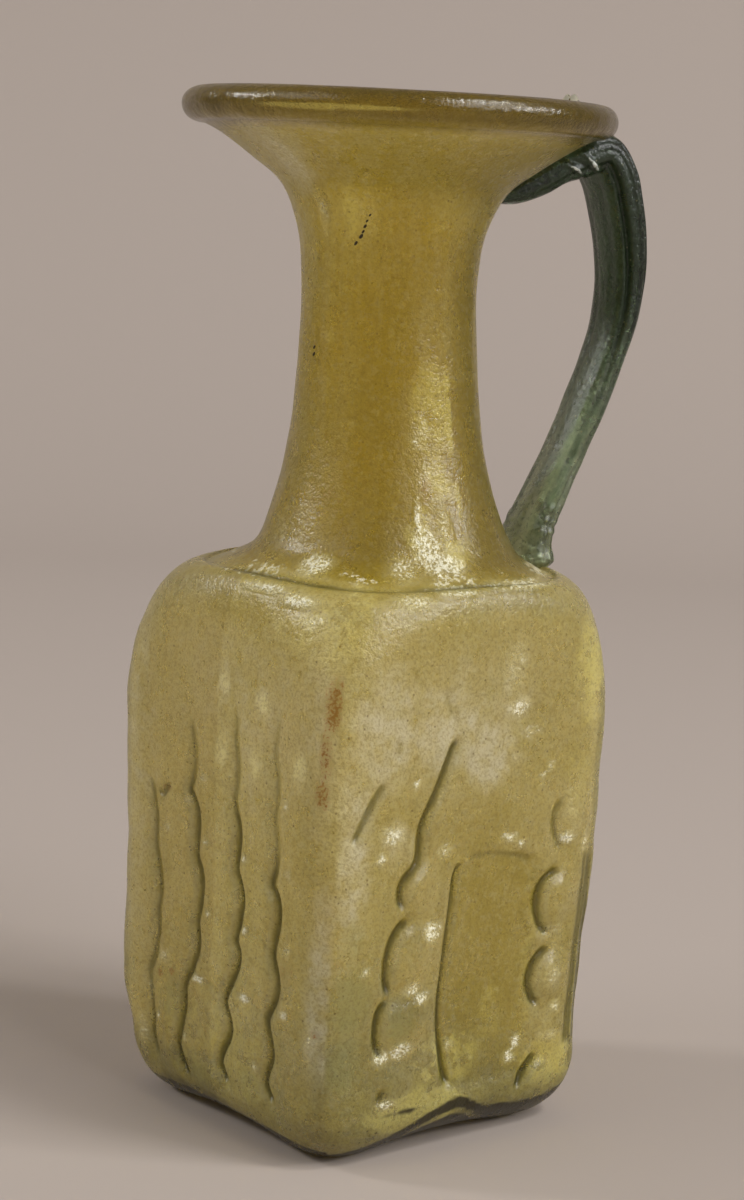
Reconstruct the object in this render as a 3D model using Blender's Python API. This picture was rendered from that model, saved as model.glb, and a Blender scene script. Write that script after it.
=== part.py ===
"""A square-bodied blown glass jug: a hollow vessel with a flaring neck and a wide mouth, and a ribbed strap handle.

Lengths are in millimetres and are turned into metres when a mesh is made. The origin is the middle of the base,
+Z is up, and the handle stands over the +X face, turned a little towards the -Y face.
"""

import math

import bpy
import numpy as np

MM = 0.001

# Overall heights, from the surface that the jug stands on
HEIGHT = 179.7  # top of the rim
BODY_HEIGHT = 97.9  # crest of the shoulder at the corners
NECK_LENGTH = HEIGHT - BODY_HEIGHT
WALL = 2.2
FLOOR_WALL = 1.9  # floor over the hollow of the underside
FLOOR_EDGE = 2.6  # rise of the floor's rounded edge

# Body: a square with rounded corners that narrows a little towards the base
BASE_HALF = 29.9  # half width across the faces at the base
SHOULDER_HALF = 32.44  # and at the shoulder
CORNER_RATIO = 1.346  # radius at the corners over half width across the faces
BASE_ROUND_FACE = 8.0
BASE_ROUND_CORNER = 11.65
BASE_ARCH = 1.6  # rise of the lower edges between the corners that the jug stands on
PONTIL_RADIUS = 8.5  # flat scar in the middle of the underside
KICK = 1.7  # depth of the hollow round it

# Shoulder: how far below the crest it turns in, how far in it reaches, and how late it bends
FACE_TURN, FACE_INSET, FACE_BEND = 11.9, 3.55, 2.4
CORNER_TURN, CORNER_INSET, CORNER_BEND = 27.8, 12.4, 2.0
FACE_CREST_RISE = 0.5  # the crest is this much higher over the faces
CREASE_WIDTH, CREASE_DEPTH = 0.7, 0.35  # groove between the crest and the neck's flare

# Neck and mouth
NECK_RADIUS = 15.4
RIM_RADIUS = 37.6
RIM_TUBE = 2.9  # radius of the rolled edge
FLARE_TOP, FUNNEL_FOOT = 0.55, 0.63  # ends of the straight neck, as shares of its length
# Shares of the flare's height and of its spread over the neck, from the shoulder up
FLARE = [(0.08, 0.69), (0.18, 0.49), (0.36, 0.27), (0.59, 0.1), (0.87, 0.01)]
# Shares of the funnel's height and of its spread over the neck, up to the rim
FUNNEL = [(0.0, 0.0), (0.31, 0.05), (0.59, 0.21), (0.76, 0.47), (0.93, 0.79)]

# The blown shape leans and sways: how far the middle of each ring stands off the base's middle
SWAY_WAY = (0.768, -0.640)
SWAY_BODY = [(0.0, 0.0), (0.06, -0.05), (0.2, -0.45), (0.46, 0.11), (1.0, 1.6)]  # share of BODY_HEIGHT, mm
# Share of NECK_LENGTH, mm
SWAY_NECK = [(0.05, 2.3), (0.1, 2.0), (0.17, 1.85), (0.39, 1.39), (0.64, 0.99), (0.8, 1.19), (0.9, 1.55), (1, 1.65)]
RIM_TILT = 0.0066  # the rim sinks this much per unit of length towards SWAY_WAY

# Relief of the faces, placed in percent of a face: s from its middle to the right as seen from outside
# (100 is SHOULDER_HALF), and z from the base (100 is BODY_HEIGHT). A percent of s is PERCENT_RATIO of one of z.
PERCENT_RATIO = BODY_HEIGHT / SHOULDER_HALF
GROOVE_DEPTH, GROOVE_REACH = 0.75, 7.4
CELL_BULGE, CELL_PITCH, CELL_TOP = 0.55, 12.0, 60.3
GROOVES = [
    [(-56, 7), (-61, 11), (-60, 23), (-52, 37), (-57, 46), (-64, 61)],
    [(-22, 6), (-34, 14), (-26, 26), (-17, 32), (-17, 45), (-21, 57), (-26, 61), (-24, 74)],
    [(12, 9), (6, 14), (10, 26), (20, 33), (20, 45), (15, 50), (14, 63), (13, 78)],
    [(52, 9), (46, 14), (48, 25), (54, 31), (52, 46), (47, 49), (49, 59), (50, 80)],
]
CELL_SIDES = (-96, 88)
CELL_FOOT, CELL_CEILING, CELL_FADE = 6, 84, 31  # the columns grow from the foot, and fade out up to the ceiling
RELIEF_FOOT, RELIEF_CEILING, RELIEF_SIDE, RELIEF_FADE = 4, 90, 92, 8  # where all relief has faded out
PANEL_SIDES, PANEL_FOOT, PANEL_TOP, PANEL_ARCH = (-14, 45), 9, 52.6, 2.3
PANEL_DEPTH, PANEL_EDGE = 0.8, 3.4
BEADS = [  # middle s and z, half width, half height, rise in mm
    (-39, 49, 15, 6.0, 0.8), (-38, 37, 18, 6.5, 0.9), (-39, 25, 18, 6.5, 0.9), (-45, 14, 15, 5.6, 0.7),
    (68, 57, 16, 7.5, 0.8), (62, 43, 16, 7.5, 0.9), (63, 29, 16, 6.5, 0.9), (64, 17, 15, 5.4, 0.7),
]
SLANTS = [(-17, 75, -39, 59, 0.6), (-63, 69, -84, 58, 0.45), (55, 13, 41, 7, 0.6)]  # ends s, z, s, z, depth in mm

# Handle: a strap in an upright plane, which turns about Z from +X by HANDLE_TURN degrees
HANDLE_TURN = -13.0
HANDLE_SWAY = 1.29  # its plane passes this far from the base's middle along SWAY_WAY
STRAP_WIDTH, STRAP_THICK = 10.8, 5.8  # at the slimmest
HANDLE_REACH = 46.6  # from the neck's axis to the farthest point of the strap's middle line
# Tail of the strap along the underside of the funnel: share of the way from neck to rim, width, thickness
TAIL = [(0.16, 0.43, 0.26), (0.34, 0.70, 0.59), (0.53, 0.93, 0.86), (0.72, 1.07, 1.10)]
TAIL_DROP = 0.4  # it hangs this much lower than its thickness needs
# Where it comes out from under the rim: out from the rim's edge and below its top, in mm, width, thickness
TURN_OVER = [(-2.0, 8.7, 1.19, 1.24), (1.8, 8.2, 1.28, 1.31)]
# From the rim to the foot: share of NECK_LENGTH, share of the reach beyond the foot, width, thickness
STRAP = [
    (0.862, 0.75, 1.31, 1.31), (0.807, 0.864, 1.28, 1.24), (0.72, 0.97, 1.19, 1.16), (0.631, 1.0, 1.11, 1.09),
    (0.543, 0.953, 1.06, 1.05), (0.454, 0.828, 1.03, 1.02), (0.364, 0.663, 1.0, 1.0), (0.275, 0.479, 0.98, 1.0),
    (0.186, 0.272, 1.0, 1.03), (0.111, 0.1, 1.07, 1.12), (0.07, 0.024, 1.17, 1.21), (0.045, 0.0, 1.22, 1.28),
]
FOOT_OUT = 0.8  # middle of the foot, out from the crest over the face
FOOT_HANG = 1.7  # its outer edge hangs this far below the crest
RIB_DEPTH, RIBS = 0.45, 4
HANDLE_GAP, FOOT_GAP = 0.7, 0.8  # left between the handle and the vessel
NUB_HEIGHT, NUB_HALF_ANGLE = 2.9, 4.0  # small lump of glass on the rim over the handle

# Mesh
FACE_STEPS, CORNER_STEPS = 13, 5
RIM_TURNS = (-90, -40, 5, 50, 95)  # degrees round the rolled edge
STRAP_SIDES = 16
SPAN_STEPS = 2

VESSEL_RGBA = (0.55, 0.45, 0.13, 0.55)
HANDLE_RGBA = (0.10, 0.20, 0.15, 0.75)


def clear_scene():
    """Removes whatever the startup scene holds."""
    for obj in list(bpy.data.objects):
        bpy.data.objects.remove(obj)


def glass(name, rgba, roughness):
    """A coloured see-through glass as a Principled material."""
    material = bpy.data.materials.new(name)
    material.use_nodes = True
    shader = material.node_tree.nodes["Principled BSDF"]
    shader.inputs["Base Color"].default_value = (*rgba[:3], 1.0)
    shader.inputs["Roughness"].default_value = roughness
    shader.inputs["IOR"].default_value = 1.5
    shader.inputs["Transmission Weight"].default_value = 0.8
    material.diffuse_color = rgba
    return material


def make_object(name, points, faces, material, collection):
    """One named object from points in millimetres and faces as lists of point numbers."""
    mesh = bpy.data.meshes.new(name)
    mesh.from_pydata((np.asarray(points) * MM).tolist(), [], faces)
    mesh.materials.append(material)
    mesh.shade_smooth()
    obj = bpy.data.objects.new(name, mesh)
    collection.objects.link(obj)
    return obj


def azimuths():
    """Ring angles: even steps along each face and closer ones round each corner."""
    face = np.arctan(np.linspace(-0.7, 0.7, FACE_STEPS + 1))
    corner = np.linspace(face[-1], math.pi / 2 + face[0], CORNER_STEPS + 1)[1:-1]
    quarter = np.concatenate([face, corner])
    return np.concatenate([quarter + k * math.pi / 2 for k in range(4)])


def middle_at(z):
    """x and y of the middle of the ring at height z."""
    heights = [share * BODY_HEIGHT for share, _ in SWAY_BODY]
    heights += [BODY_HEIGHT + share * NECK_LENGTH for share, _ in SWAY_NECK]
    sway = np.interp(z, heights, [sway for _, sway in SWAY_BODY + SWAY_NECK])
    return sway[..., None] * np.array(SWAY_WAY)


def turned_in(z, turn, inset, bend):
    """How far the shoulder has drawn in at height z: from 0 up to the inset over the last turn below the crest."""
    share = min(max((z - BODY_HEIGHT) / turn + 1, 0), 1)
    return inset * (1 - math.sqrt(1 - share**bend))


def undercut(z, radius):
    """How far a rounded lower edge has drawn in at height z."""
    below = max(radius - z, 0)
    return radius - math.sqrt(radius**2 - below**2)


def body_ring(z):
    """Half width across the faces and radius at the corners at height z."""
    half = BASE_HALF + (SHOULDER_HALF - BASE_HALF) * z / BODY_HEIGHT
    face = half - undercut(z, BASE_ROUND_FACE) - turned_in(z, FACE_TURN, FACE_INSET, FACE_BEND)
    corner = half * CORNER_RATIO - undercut(z, BASE_ROUND_CORNER)
    return face, corner - turned_in(z, CORNER_TURN, CORNER_INSET, CORNER_BEND)


def underside():
    """Stations of the underside and of the rounded lower edge, as in outer_stations."""
    rest = body_ring(0.0)
    rows = [
        (PONTIL_RADIUS, PONTIL_RADIUS, 0.0, 0.0),
        (PONTIL_RADIUS + KICK, PONTIL_RADIUS + KICK, KICK / 2, KICK / 2),
        (0.7 * rest[0], 0.73 * rest[1], KICK, 0.7 * KICK),
    ]
    for share in (0.0, 0.08, 0.24, 0.52):
        z = share * BASE_ROUND_CORNER
        rows.append((*body_ring(z), z + BASE_ARCH * (1 - share), z))
    return rows


def neck_outline():
    """Radius and height of the outside of the neck, from the flare to the underside of the rim."""
    crest = SHOULDER_HALF - FACE_INSET
    flare = crest - 3 * CREASE_WIDTH - NECK_RADIUS
    flare_height = FLARE_TOP * NECK_LENGTH
    rows = [(NECK_RADIUS + out * flare, BODY_HEIGHT + up * flare_height) for up, out in FLARE]
    spread = RIM_RADIUS - RIM_TUBE - NECK_RADIUS
    foot = BODY_HEIGHT + FUNNEL_FOOT * NECK_LENGTH
    height = HEIGHT - 2 * RIM_TUBE - foot
    return rows + [(NECK_RADIUS + out * spread, foot + up * height) for up, out in FUNNEL]


def outer_stations():
    """The outside from the underside to the top of the rim: face radius, corner radius, face z, corner z."""
    turn_z = BODY_HEIGHT - CORNER_TURN
    heights = [*np.linspace(0.86 * BASE_ROUND_CORNER, turn_z + 0.1 * CORNER_TURN, 16)]
    heights += [turn_z + share * CORNER_TURN for share in (0.27, 0.43, 0.57, 0.72, 0.84, 0.94)]
    rows = underside() + [(*body_ring(z), z, z) for z in heights]
    face, corner = body_ring(BODY_HEIGHT)
    crest = BODY_HEIGHT + FACE_CREST_RISE
    rows.append((face, corner, crest, BODY_HEIGHT))
    rows.append((face - CREASE_WIDTH, corner - CREASE_WIDTH, crest - CREASE_DEPTH, BODY_HEIGHT - CREASE_DEPTH))
    face, corner = face - 3 * CREASE_WIDTH, corner - 3.5 * CREASE_WIDTH
    rows.append((face, corner, crest + CREASE_DEPTH, BODY_HEIGHT + CREASE_DEPTH))
    rows += [(r, r, z, z) for r, z in neck_outline()]
    for turn in np.radians(RIM_TURNS):
        r = RIM_RADIUS - RIM_TUBE + RIM_TUBE * math.cos(turn)
        z = HEIGHT - RIM_TUBE + RIM_TUBE * math.sin(turn)
        rows.append((r, r, z, z))
    return np.array(rows)


def inner_stations(outer):
    """The inside from the mouth down to the floor, one wall inside the outer stations that it follows."""
    followed = (6, 7, 8, 9, 10, 11, 13, 15, 17, 19, 21, 25, 33, 40)  # counted down from the rim's top
    inner = outer.copy()
    for r, z in ((0, 2), (1, 3)):
        along = np.gradient(outer[:, [r, z]], axis=0)
        along /= np.linalg.norm(along, axis=1, keepdims=True)
        inner[:, r] -= WALL * along[:, 1]
        inner[:, z] += WALL * along[:, 0]
    lip_r = RIM_RADIUS - 2 * RIM_TUBE
    lip_z = HEIGHT - 0.7 * RIM_TUBE
    floor = KICK + FLOOR_WALL
    edge = np.array(body_ring(floor + FLOOR_EDGE)) - WALL
    return np.vstack([
        (lip_r, lip_r, lip_z, lip_z),
        inner[[-row for row in followed]],
        (*edge, floor + FLOOR_EDGE, floor + FLOOR_EDGE),
        (*body_ring(0.0), floor, floor),
    ])


def ring(station, turns):
    """Points of one ring. Its outline is |cos|^n + |sin|^n = 1, with n set by the radius at the corners."""
    face, corner, face_z, corner_z = station
    n = 1 / max(0.5 - math.log2(min(max(corner / face, 1.0), 1.4)), 0.004)
    r = face * (np.abs(np.cos(turns)) ** n + np.abs(np.sin(turns)) ** n) ** (-1 / n)
    z = face_z + (corner_z - face_z) * np.abs(np.sin(2 * turns)) ** 3
    x, y = (middle_at(z) + r[:, None] * np.stack([np.cos(turns), np.sin(turns)], axis=1)).T
    up_neck = np.clip((z - BODY_HEIGHT) / NECK_LENGTH, 0, 1)
    sink = RIM_TILT * (x * SWAY_WAY[0] + y * SWAY_WAY[1]) * up_neck**2
    return np.stack([x, y, z - sink], axis=1)


def hump(x):
    """A smooth hump: 1 at 0, falling to 0 at 1 and beyond."""
    return np.clip(1 - x * x, 0, 1) ** 2


def columns_relief(s, z):
    """Height of the face that has columns of rounded cells between wavy grooves."""
    height = np.zeros_like(s)
    edges = [np.full_like(z, CELL_SIDES[0])]
    for groove in GROOVES:
        line = np.array(groove, float)
        at = np.interp(z, line[:, 1], line[:, 0])
        end = np.clip((line[-1, 1] - z) / CELL_PITCH + 0.5, 0, 1)
        height -= GROOVE_DEPTH * end * hump((s - at) / GROOVE_REACH)
        edges.append(at)
    edges.append(np.full_like(z, CELL_SIDES[1]))
    waist = 0.72 - 0.28 * np.cos(2 * math.pi * (z - CELL_TOP) / CELL_PITCH)
    for left, right in zip(edges[:-1], edges[1:]):
        height += CELL_BULGE * waist * hump((2 * s - left - right) / (right - left))
    return height * np.clip((z - CELL_FOOT) / 8, 0, 1) * np.clip((CELL_CEILING - z) / CELL_FADE, 0, 1)


def panel_relief(s, z):
    """Height of the face that has a sunk, arched panel between two columns of beads."""
    left, right = PANEL_SIDES
    top = PANEL_TOP - PANEL_ARCH * ((2 * s - left - right) / (right - left)) ** 4
    inside = np.minimum(s - left, right - s)
    inside = np.minimum(inside, PERCENT_RATIO * np.minimum(top - z, z - PANEL_FOOT))
    height = -PANEL_DEPTH * np.clip(0.5 + inside / (2 * PANEL_EDGE), 0, 1)
    for s0, z0, half_s, half_z, rise in BEADS:
        height += rise * hump(np.hypot((s - s0) / half_s, (z - z0) / half_z))
    for s0, z0, s1, z1, depth in SLANTS:
        run, climb = s1 - s0, PERCENT_RATIO * (z1 - z0)
        from_s, from_z = s - s0, PERCENT_RATIO * (z - z0)
        share = np.clip((from_s * run + from_z * climb) / (run**2 + climb**2), 0, 1)
        height -= depth * hump(np.hypot(from_s - share * run, from_z - share * climb) / GROOVE_REACH)
    return height


def add_relief(points):
    """Moves a ring's points out or in, along the normals of the four faces. Opposite faces share a design."""
    middles = middle_at(points[:, 2])
    x, y = (points[:, :2] - middles).T
    z = 100 * points[:, 2] / BODY_HEIGHT
    ends_fade = np.clip((z - RELIEF_FOOT) / RELIEF_FADE, 0, 1) * np.clip((RELIEF_CEILING - z) / RELIEF_FADE, 0, 1)
    for quarter, design in enumerate((panel_relief, columns_relief, columns_relief, panel_relief)):
        out = np.array([math.cos(quarter * math.pi / 2), math.sin(quarter * math.pi / 2)])
        s = 100 * (y * out[0] - x * out[1]) / SHOULDER_HALF
        on_face = x * out[0] + y * out[1] > BASE_HALF / 2
        side_fade = np.clip((RELIEF_SIDE - np.abs(s)) / RELIEF_FADE, 0, 1)
        height = design(s, z) * ends_fade * side_fade * on_face
        points[:, :2] += height[:, None] * out
    return points


def lofted(rings, first, last):
    """Points and faces of a closed skin through equal rings, with a middle point at either end."""
    count = len(rings[0])
    points = np.vstack([first, *rings, last])
    end = 1 + (len(rings) - 1) * count
    faces = []
    for k in range(count):
        after = (k + 1) % count
        faces.append((0, 1 + after, 1 + k))
        for a in range(1, end, count):
            faces.append((a + k, a + after, a + count + after, a + count + k))
        faces.append((end + k, end + after, len(points) - 1))
    return points, faces


def vessel_skin():
    """Points and faces of the vessel: outside upwards, over the rim and inside downwards."""
    turns = azimuths()
    outer = outer_stations()
    outside = [add_relief(ring(station, turns)) for station in outer]
    away = np.abs(np.angle(np.exp(1j * (turns - math.radians(HANDLE_TURN)))))
    outside[-1][:, 2] += NUB_HEIGHT * np.sqrt(np.clip(1 - away / math.radians(NUB_HALF_ANGLE), 0, 1))
    inside = [ring(station, turns) for station in inner_stations(outer)]
    floor = np.array(KICK + FLOOR_WALL)
    return lofted(outside + inside, (0.0, 0.0, 0.0), (*middle_at(floor), floor))


def outside_near_handle():
    """A dense grid of points on the vessel's outside on the handle's side, with the normals there."""
    turns = np.radians(np.linspace(HANDLE_TURN - 40, HANDLE_TURN + 40, 61))
    rows = outer_stations()
    rows = rows[rows[:, 2] > 0.8 * BODY_HEIGHT]
    steps = np.linspace(0, len(rows) - 1, 12 * (len(rows) - 1) + 1)
    fine = np.stack([np.interp(steps, np.arange(len(rows)), column) for column in rows.T], axis=1)
    grid = np.array([ring(row, turns) for row in fine])
    normal = np.cross(np.gradient(grid, axis=1), np.gradient(grid, axis=0))
    normal /= np.linalg.norm(normal, axis=2, keepdims=True)
    return grid.reshape(-1, 3), normal.reshape(-1, 3)


def height_over(point, skin):
    """Height of a point over the nearest point of the vessel's outside, and the normal there."""
    places, normals = skin
    near = np.argmin(((places - point) ** 2).sum(axis=1))
    return (point - places[near]) @ normals[near], normals[near]


def keep_clear(points, skin):
    """Moves the points that are nearer than HANDLE_GAP to the vessel, or inside it, out along its normals."""
    points = np.array(points, float)
    for point in points:
        for _ in range(3):
            height, normal = height_over(point, skin)
            point += max(HANDLE_GAP - height, 0) * normal
    return points


def set_down(points, skin):
    """Lowers the strap's last ring until it meets the shoulder, or to where it hangs over the edge."""
    lowest = BODY_HEIGHT - FOOT_HANG
    for point in points:
        for _ in range(12):
            height, _ = height_over(point, skin)
            point[2] = max(point[2] - 0.8 * (height - FOOT_GAP), lowest)
    return points


def strap_knots():
    """Knots of the strap from its tail on the neck to its foot: radius, height, width, thickness."""
    funnel = np.array(neck_outline()[len(FLARE) :] + [(RIM_RADIUS - RIM_TUBE, HEIGHT - 2 * RIM_TUBE)])
    rows = []
    for share, wide, thick in TAIL:
        r = NECK_RADIUS + share * (RIM_RADIUS - NECK_RADIUS)
        under = np.interp(r, funnel[:, 0], funnel[:, 1])
        rows.append((r, under - thick * STRAP_THICK / 2 - TAIL_DROP, wide, thick))
    rows += [(RIM_RADIUS + out, HEIGHT - down, wide, thick) for out, down, wide, thick in TURN_OVER]
    foot = SHOULDER_HALF - FACE_INSET + FOOT_OUT
    for share, reach, wide, thick in STRAP:
        rows.append((foot + reach * (HANDLE_REACH - foot), BODY_HEIGHT + share * NECK_LENGTH, wide, thick))
    return np.array(rows) * (1, 1, STRAP_WIDTH, STRAP_THICK)


def smooth_path(knots, steps):
    """A Catmull-Rom curve through the knots, with the same number of steps in each span."""
    ends = np.vstack([2 * knots[0] - knots[1], knots, 2 * knots[-1] - knots[-2]])
    rows = []
    for a, b, c, d in zip(ends, ends[1:], ends[2:], ends[3:]):
        for t in np.arange(steps) / steps:
            bend = (2 * a - 5 * b + 4 * c - d) * t**2 + (3 * b - a - 3 * c + d) * t**3
            rows.append(b + 0.5 * ((c - a) * t + bend))
    return np.vstack([*rows, knots[-1]])


def strap_rings():
    """Rings of the strap along its path. Its outward side has lengthwise ribs."""
    path = smooth_path(strap_knots(), SPAN_STEPS)
    ahead = np.gradient(path[:, :2], axis=0)
    ahead /= np.linalg.norm(ahead, axis=1, keepdims=True)
    turn = math.radians(HANDLE_TURN)
    radial = np.array([math.cos(turn), math.sin(turn), 0.0])
    across = np.array([math.sin(turn), -math.cos(turn), 0.0])
    upright = np.array([0.0, 0.0, 1.0])
    axis = HANDLE_SWAY * np.array([*SWAY_WAY, 0.0])
    angles = np.linspace(0, 2 * math.pi, STRAP_SIDES, endpoint=False)
    plump = (np.abs(np.cos(angles)) ** 2.5 + np.abs(np.sin(angles)) ** 2.5) ** (-1 / 2.5)
    rib = RIB_DEPTH * np.cos(2 * RIBS * angles) * np.clip(np.cos(angles) + 0.4, 0, 1)
    rings = []
    for (r, z, width, thick), (dr, dz) in zip(path, ahead):
        ribs = rib * min(thick / STRAP_THICK, 1)
        out = (plump * thick / 2 + ribs) * np.cos(angles)
        side = (plump * width / 2 + ribs) * np.sin(angles)
        outward = dr * upright - dz * radial
        rings.append(axis + r * radial + z * upright + np.outer(out, outward) + np.outer(side, across))
    return rings


def handle_skin():
    """Points and faces of the handle, kept clear of the vessel."""
    skin = outside_near_handle()
    rings = [keep_clear(points, skin) for points in strap_rings()]
    rings[-1] = set_down(rings[-1], skin)
    ends = keep_clear([rings[0].mean(axis=0), rings[-1].mean(axis=0)], skin)
    return lofted(rings, ends[0], ends[1])


def build():
    clear_scene()
    collection = bpy.data.collections.new("glass_jug")
    bpy.context.scene.collection.children.link(collection)
    make_object("vessel", *vessel_skin(), glass("olive_glass", VESSEL_RGBA, 0.25), collection)
    make_object("handle", *handle_skin(), glass("blue_green_glass", HANDLE_RGBA, 0.2), collection)


build()
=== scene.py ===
"""Looks of a square-bodied blown glass jug: weathered olive glass with faint moulded relief, a blue-green
handle, and small open bubbles with dirt in them on the neck.

Lengths are in millimetres and are turned into metres when a mesh is made. The origin is the middle of the
base, +Z is up, and the handle stands over the +X face. Each shape is a grid of rings that is worked out as
whole arrays, and each point of the glass also carries how much dirt, haze or stain lies there, and how much
painted light and shade (glints, glow, dark bands), as attributes that the materials read.
"""

import math

import bpy
import numpy as np
from mathutils import Matrix, Vector


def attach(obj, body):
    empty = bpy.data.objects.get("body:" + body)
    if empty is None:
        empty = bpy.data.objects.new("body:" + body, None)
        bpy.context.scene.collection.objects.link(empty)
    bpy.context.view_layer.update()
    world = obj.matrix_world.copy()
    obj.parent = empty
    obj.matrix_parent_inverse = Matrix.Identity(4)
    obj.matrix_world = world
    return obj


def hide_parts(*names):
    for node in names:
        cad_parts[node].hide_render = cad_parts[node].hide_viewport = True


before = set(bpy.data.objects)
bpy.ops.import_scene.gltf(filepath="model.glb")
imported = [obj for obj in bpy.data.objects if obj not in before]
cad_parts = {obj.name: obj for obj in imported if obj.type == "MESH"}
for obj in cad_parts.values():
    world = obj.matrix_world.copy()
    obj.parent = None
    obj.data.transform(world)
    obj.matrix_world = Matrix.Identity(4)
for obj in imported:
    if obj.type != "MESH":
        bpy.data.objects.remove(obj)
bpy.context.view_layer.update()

MM = 0.001

# Overall heights, from the surface that the jug stands on
HEIGHT = 179.7  # top of the rim
BODY_HEIGHT = 97.9  # crest of the shoulder at the corners
NECK_LENGTH = HEIGHT - BODY_HEIGHT
WALL = 2.2
FLOOR_WALL = 1.9

# Body: a square with rounded corners that narrows a little towards the base
BASE_HALF, SHOULDER_HALF = 29.9, 32.44
CORNER_RATIO = 1.346
BASE_ROUND_FACE, BASE_ROUND_CORNER = 8.0, 11.65
BASE_ARCH = 1.6
PONTIL_RADIUS, KICK = 8.5, 1.7
FACE_TURN, FACE_INSET, FACE_BEND = 11.9, 3.55, 2.4
CORNER_TURN, CORNER_INSET, CORNER_BEND = 27.8, 12.4, 2.0
FACE_CREST_RISE = 0.5
CREASE_WIDTH, CREASE_DEPTH = 0.7, 0.35
CREASE_FILM = 0.5  # the dark line along the crease, painted shade with some dirt, is that many times as steep as along a groove

# Neck and mouth
NECK_RADIUS, RIM_RADIUS, RIM_TUBE = 15.4, 37.6, 2.9
FLARE_TOP, FUNNEL_FOOT = 0.55, 0.63
# Outline of each: (share of its height, share of the way out)
FLARE = [(0.08, 0.69), (0.18, 0.49), (0.36, 0.27), (0.59, 0.1), (0.87, 0.01)]
FUNNEL = [(0.0, 0.0), (0.31, 0.05), (0.59, 0.21), (0.76, 0.47), (0.93, 0.79)]
RIM_TILT = 0.0066
NUB_HEIGHT, NUB_RADIUS, NUB_AZIMUTH, NUB_TURN = 2.9, 34.9, -10.0, 5.0  # two small peaks on the rim

# The blown shape leans and sways
SWAY_WAY = (0.768, -0.640)
# (share of the height of the body or the neck, mm along SWAY_WAY)
SWAY_BODY = [(0.0, 0.0), (0.06, -0.05), (0.2, -0.45), (0.46, 0.11), (1.0, 1.6)]
SWAY_NECK = [
    (0.05, 2.3), (0.1, 2.0), (0.17, 1.85), (0.39, 1.39), (0.64, 0.99), (0.8, 1.19), (0.9, 1.55), (1, 1.65),
]

# Relief of the faces in mm: s runs to the right as seen from outside, from the face's middle, and z runs up
COLUMN_LINES = [  # grooves between the columns: depth, top of the dark part, (s, z) from the foot up
    (0.5, 58, [
        (-18.1, 7), (-19.7, 11.2), (-19.7, 15.8), (-19.3, 22.2), (-18.3, 27), (-17, 35.8), (-18.4, 45.3),
        (-19.5, 53.4), (-20.6, 60),
    ]),
    (0.85, 60, [
        (-7.2, 6.3), (-9.5, 8.7), (-11, 13.6), (-9.3, 20.2), (-8.3, 25), (-5.6, 31.8), (-5.7, 37.7),
        (-5.4, 44.5), (-6.9, 49.4), (-6.9, 56.1), (-8.5, 59.4), (-7.9, 62.5), (-7.8, 72.8),
    ]),
    (0.9, 56, [
        (3.8, 8.8), (1.9, 13.5), (4.3, 19.5), (3.4, 25.2), (6.5, 32.6), (5.7, 36.1), (6.4, 43.6),
        (4.8, 49.1), (5, 55), (4.4, 61.3), (5, 70.8), (4.2, 76.4),
    ]),
    (0.8, 50, [
        (16.9, 9), (15, 13.7), (16.2, 18.4), (15.6, 24.1), (17.4, 30.4), (16.2, 36.6), (16.8, 44.6),
        (15.1, 47.8), (15.6, 50.1), (15.9, 57.3), (15.8, 67.2), (16.2, 78.5),
    ]),
]
CROSS_LINES = [  # shallow creases across the columns
    (0.2, [(-5, 62.6), (-0.5, 62.4), (4, 61)]), (0.2, [(-5.2, 50.9), (0, 50.4), (4.6, 49.2)]),
    (0.2, [(6, 50.9), (11, 50.5), (15.2, 49)]), (0.22, [(-4.8, 38.8), (0.5, 38.6), (5.6, 37.1)]),
    (0.22, [(6.8, 38.5), (12, 38.1), (16, 36.6)]), (0.25, [(-7.6, 26.8), (-3, 26.6), (3.4, 25)]),
    (0.25, [(4.8, 26.8), (10, 26.4), (15.2, 24.8)]), (0.2, [(17.4, 26.6), (21, 26.3), (24.5, 25)]),
    (0.2, [(18, 38), (21.5, 37.7), (25, 36.6)]), (0.2, [(-18, 27), (-14, 27.4), (-9, 25.4)]),
]
COLUMN_SIDES = (-31.0, 27.0)  # where the outermost columns end
SCALLOP, SCALLOP_PITCH, SCALLOP_TOP = 0.9, 11.7, 59.0  # the grooves bow to the right between cusps
CELL_BULGE = 0.8
COLUMN_FOOT, COLUMN_CEILING, COLUMN_FADE = 6.0, 88.0, 30.0  # the columns fade out below the ceiling
DARK_FADE = 10.0  # a groove grows faint over this height, from 5 mm below the top of its dark part
RAISED_OVALS = [  # low ovals above the columns: middle s and z, half height, haze and light on them
    (1.1, 78.7, 4.6, 0.75, 0.7), (12.2, 78.5, 4.6, 0.75, 0.7), (1.2, 67.9, 5.0, 0.6, 0.7),
    (11.2, 67.7, 5.0, 0.55, 0.6), (22.4, 68.5, 5.4, 0.6, 0.7),
]
OVAL_HALF = 3.6

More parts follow.
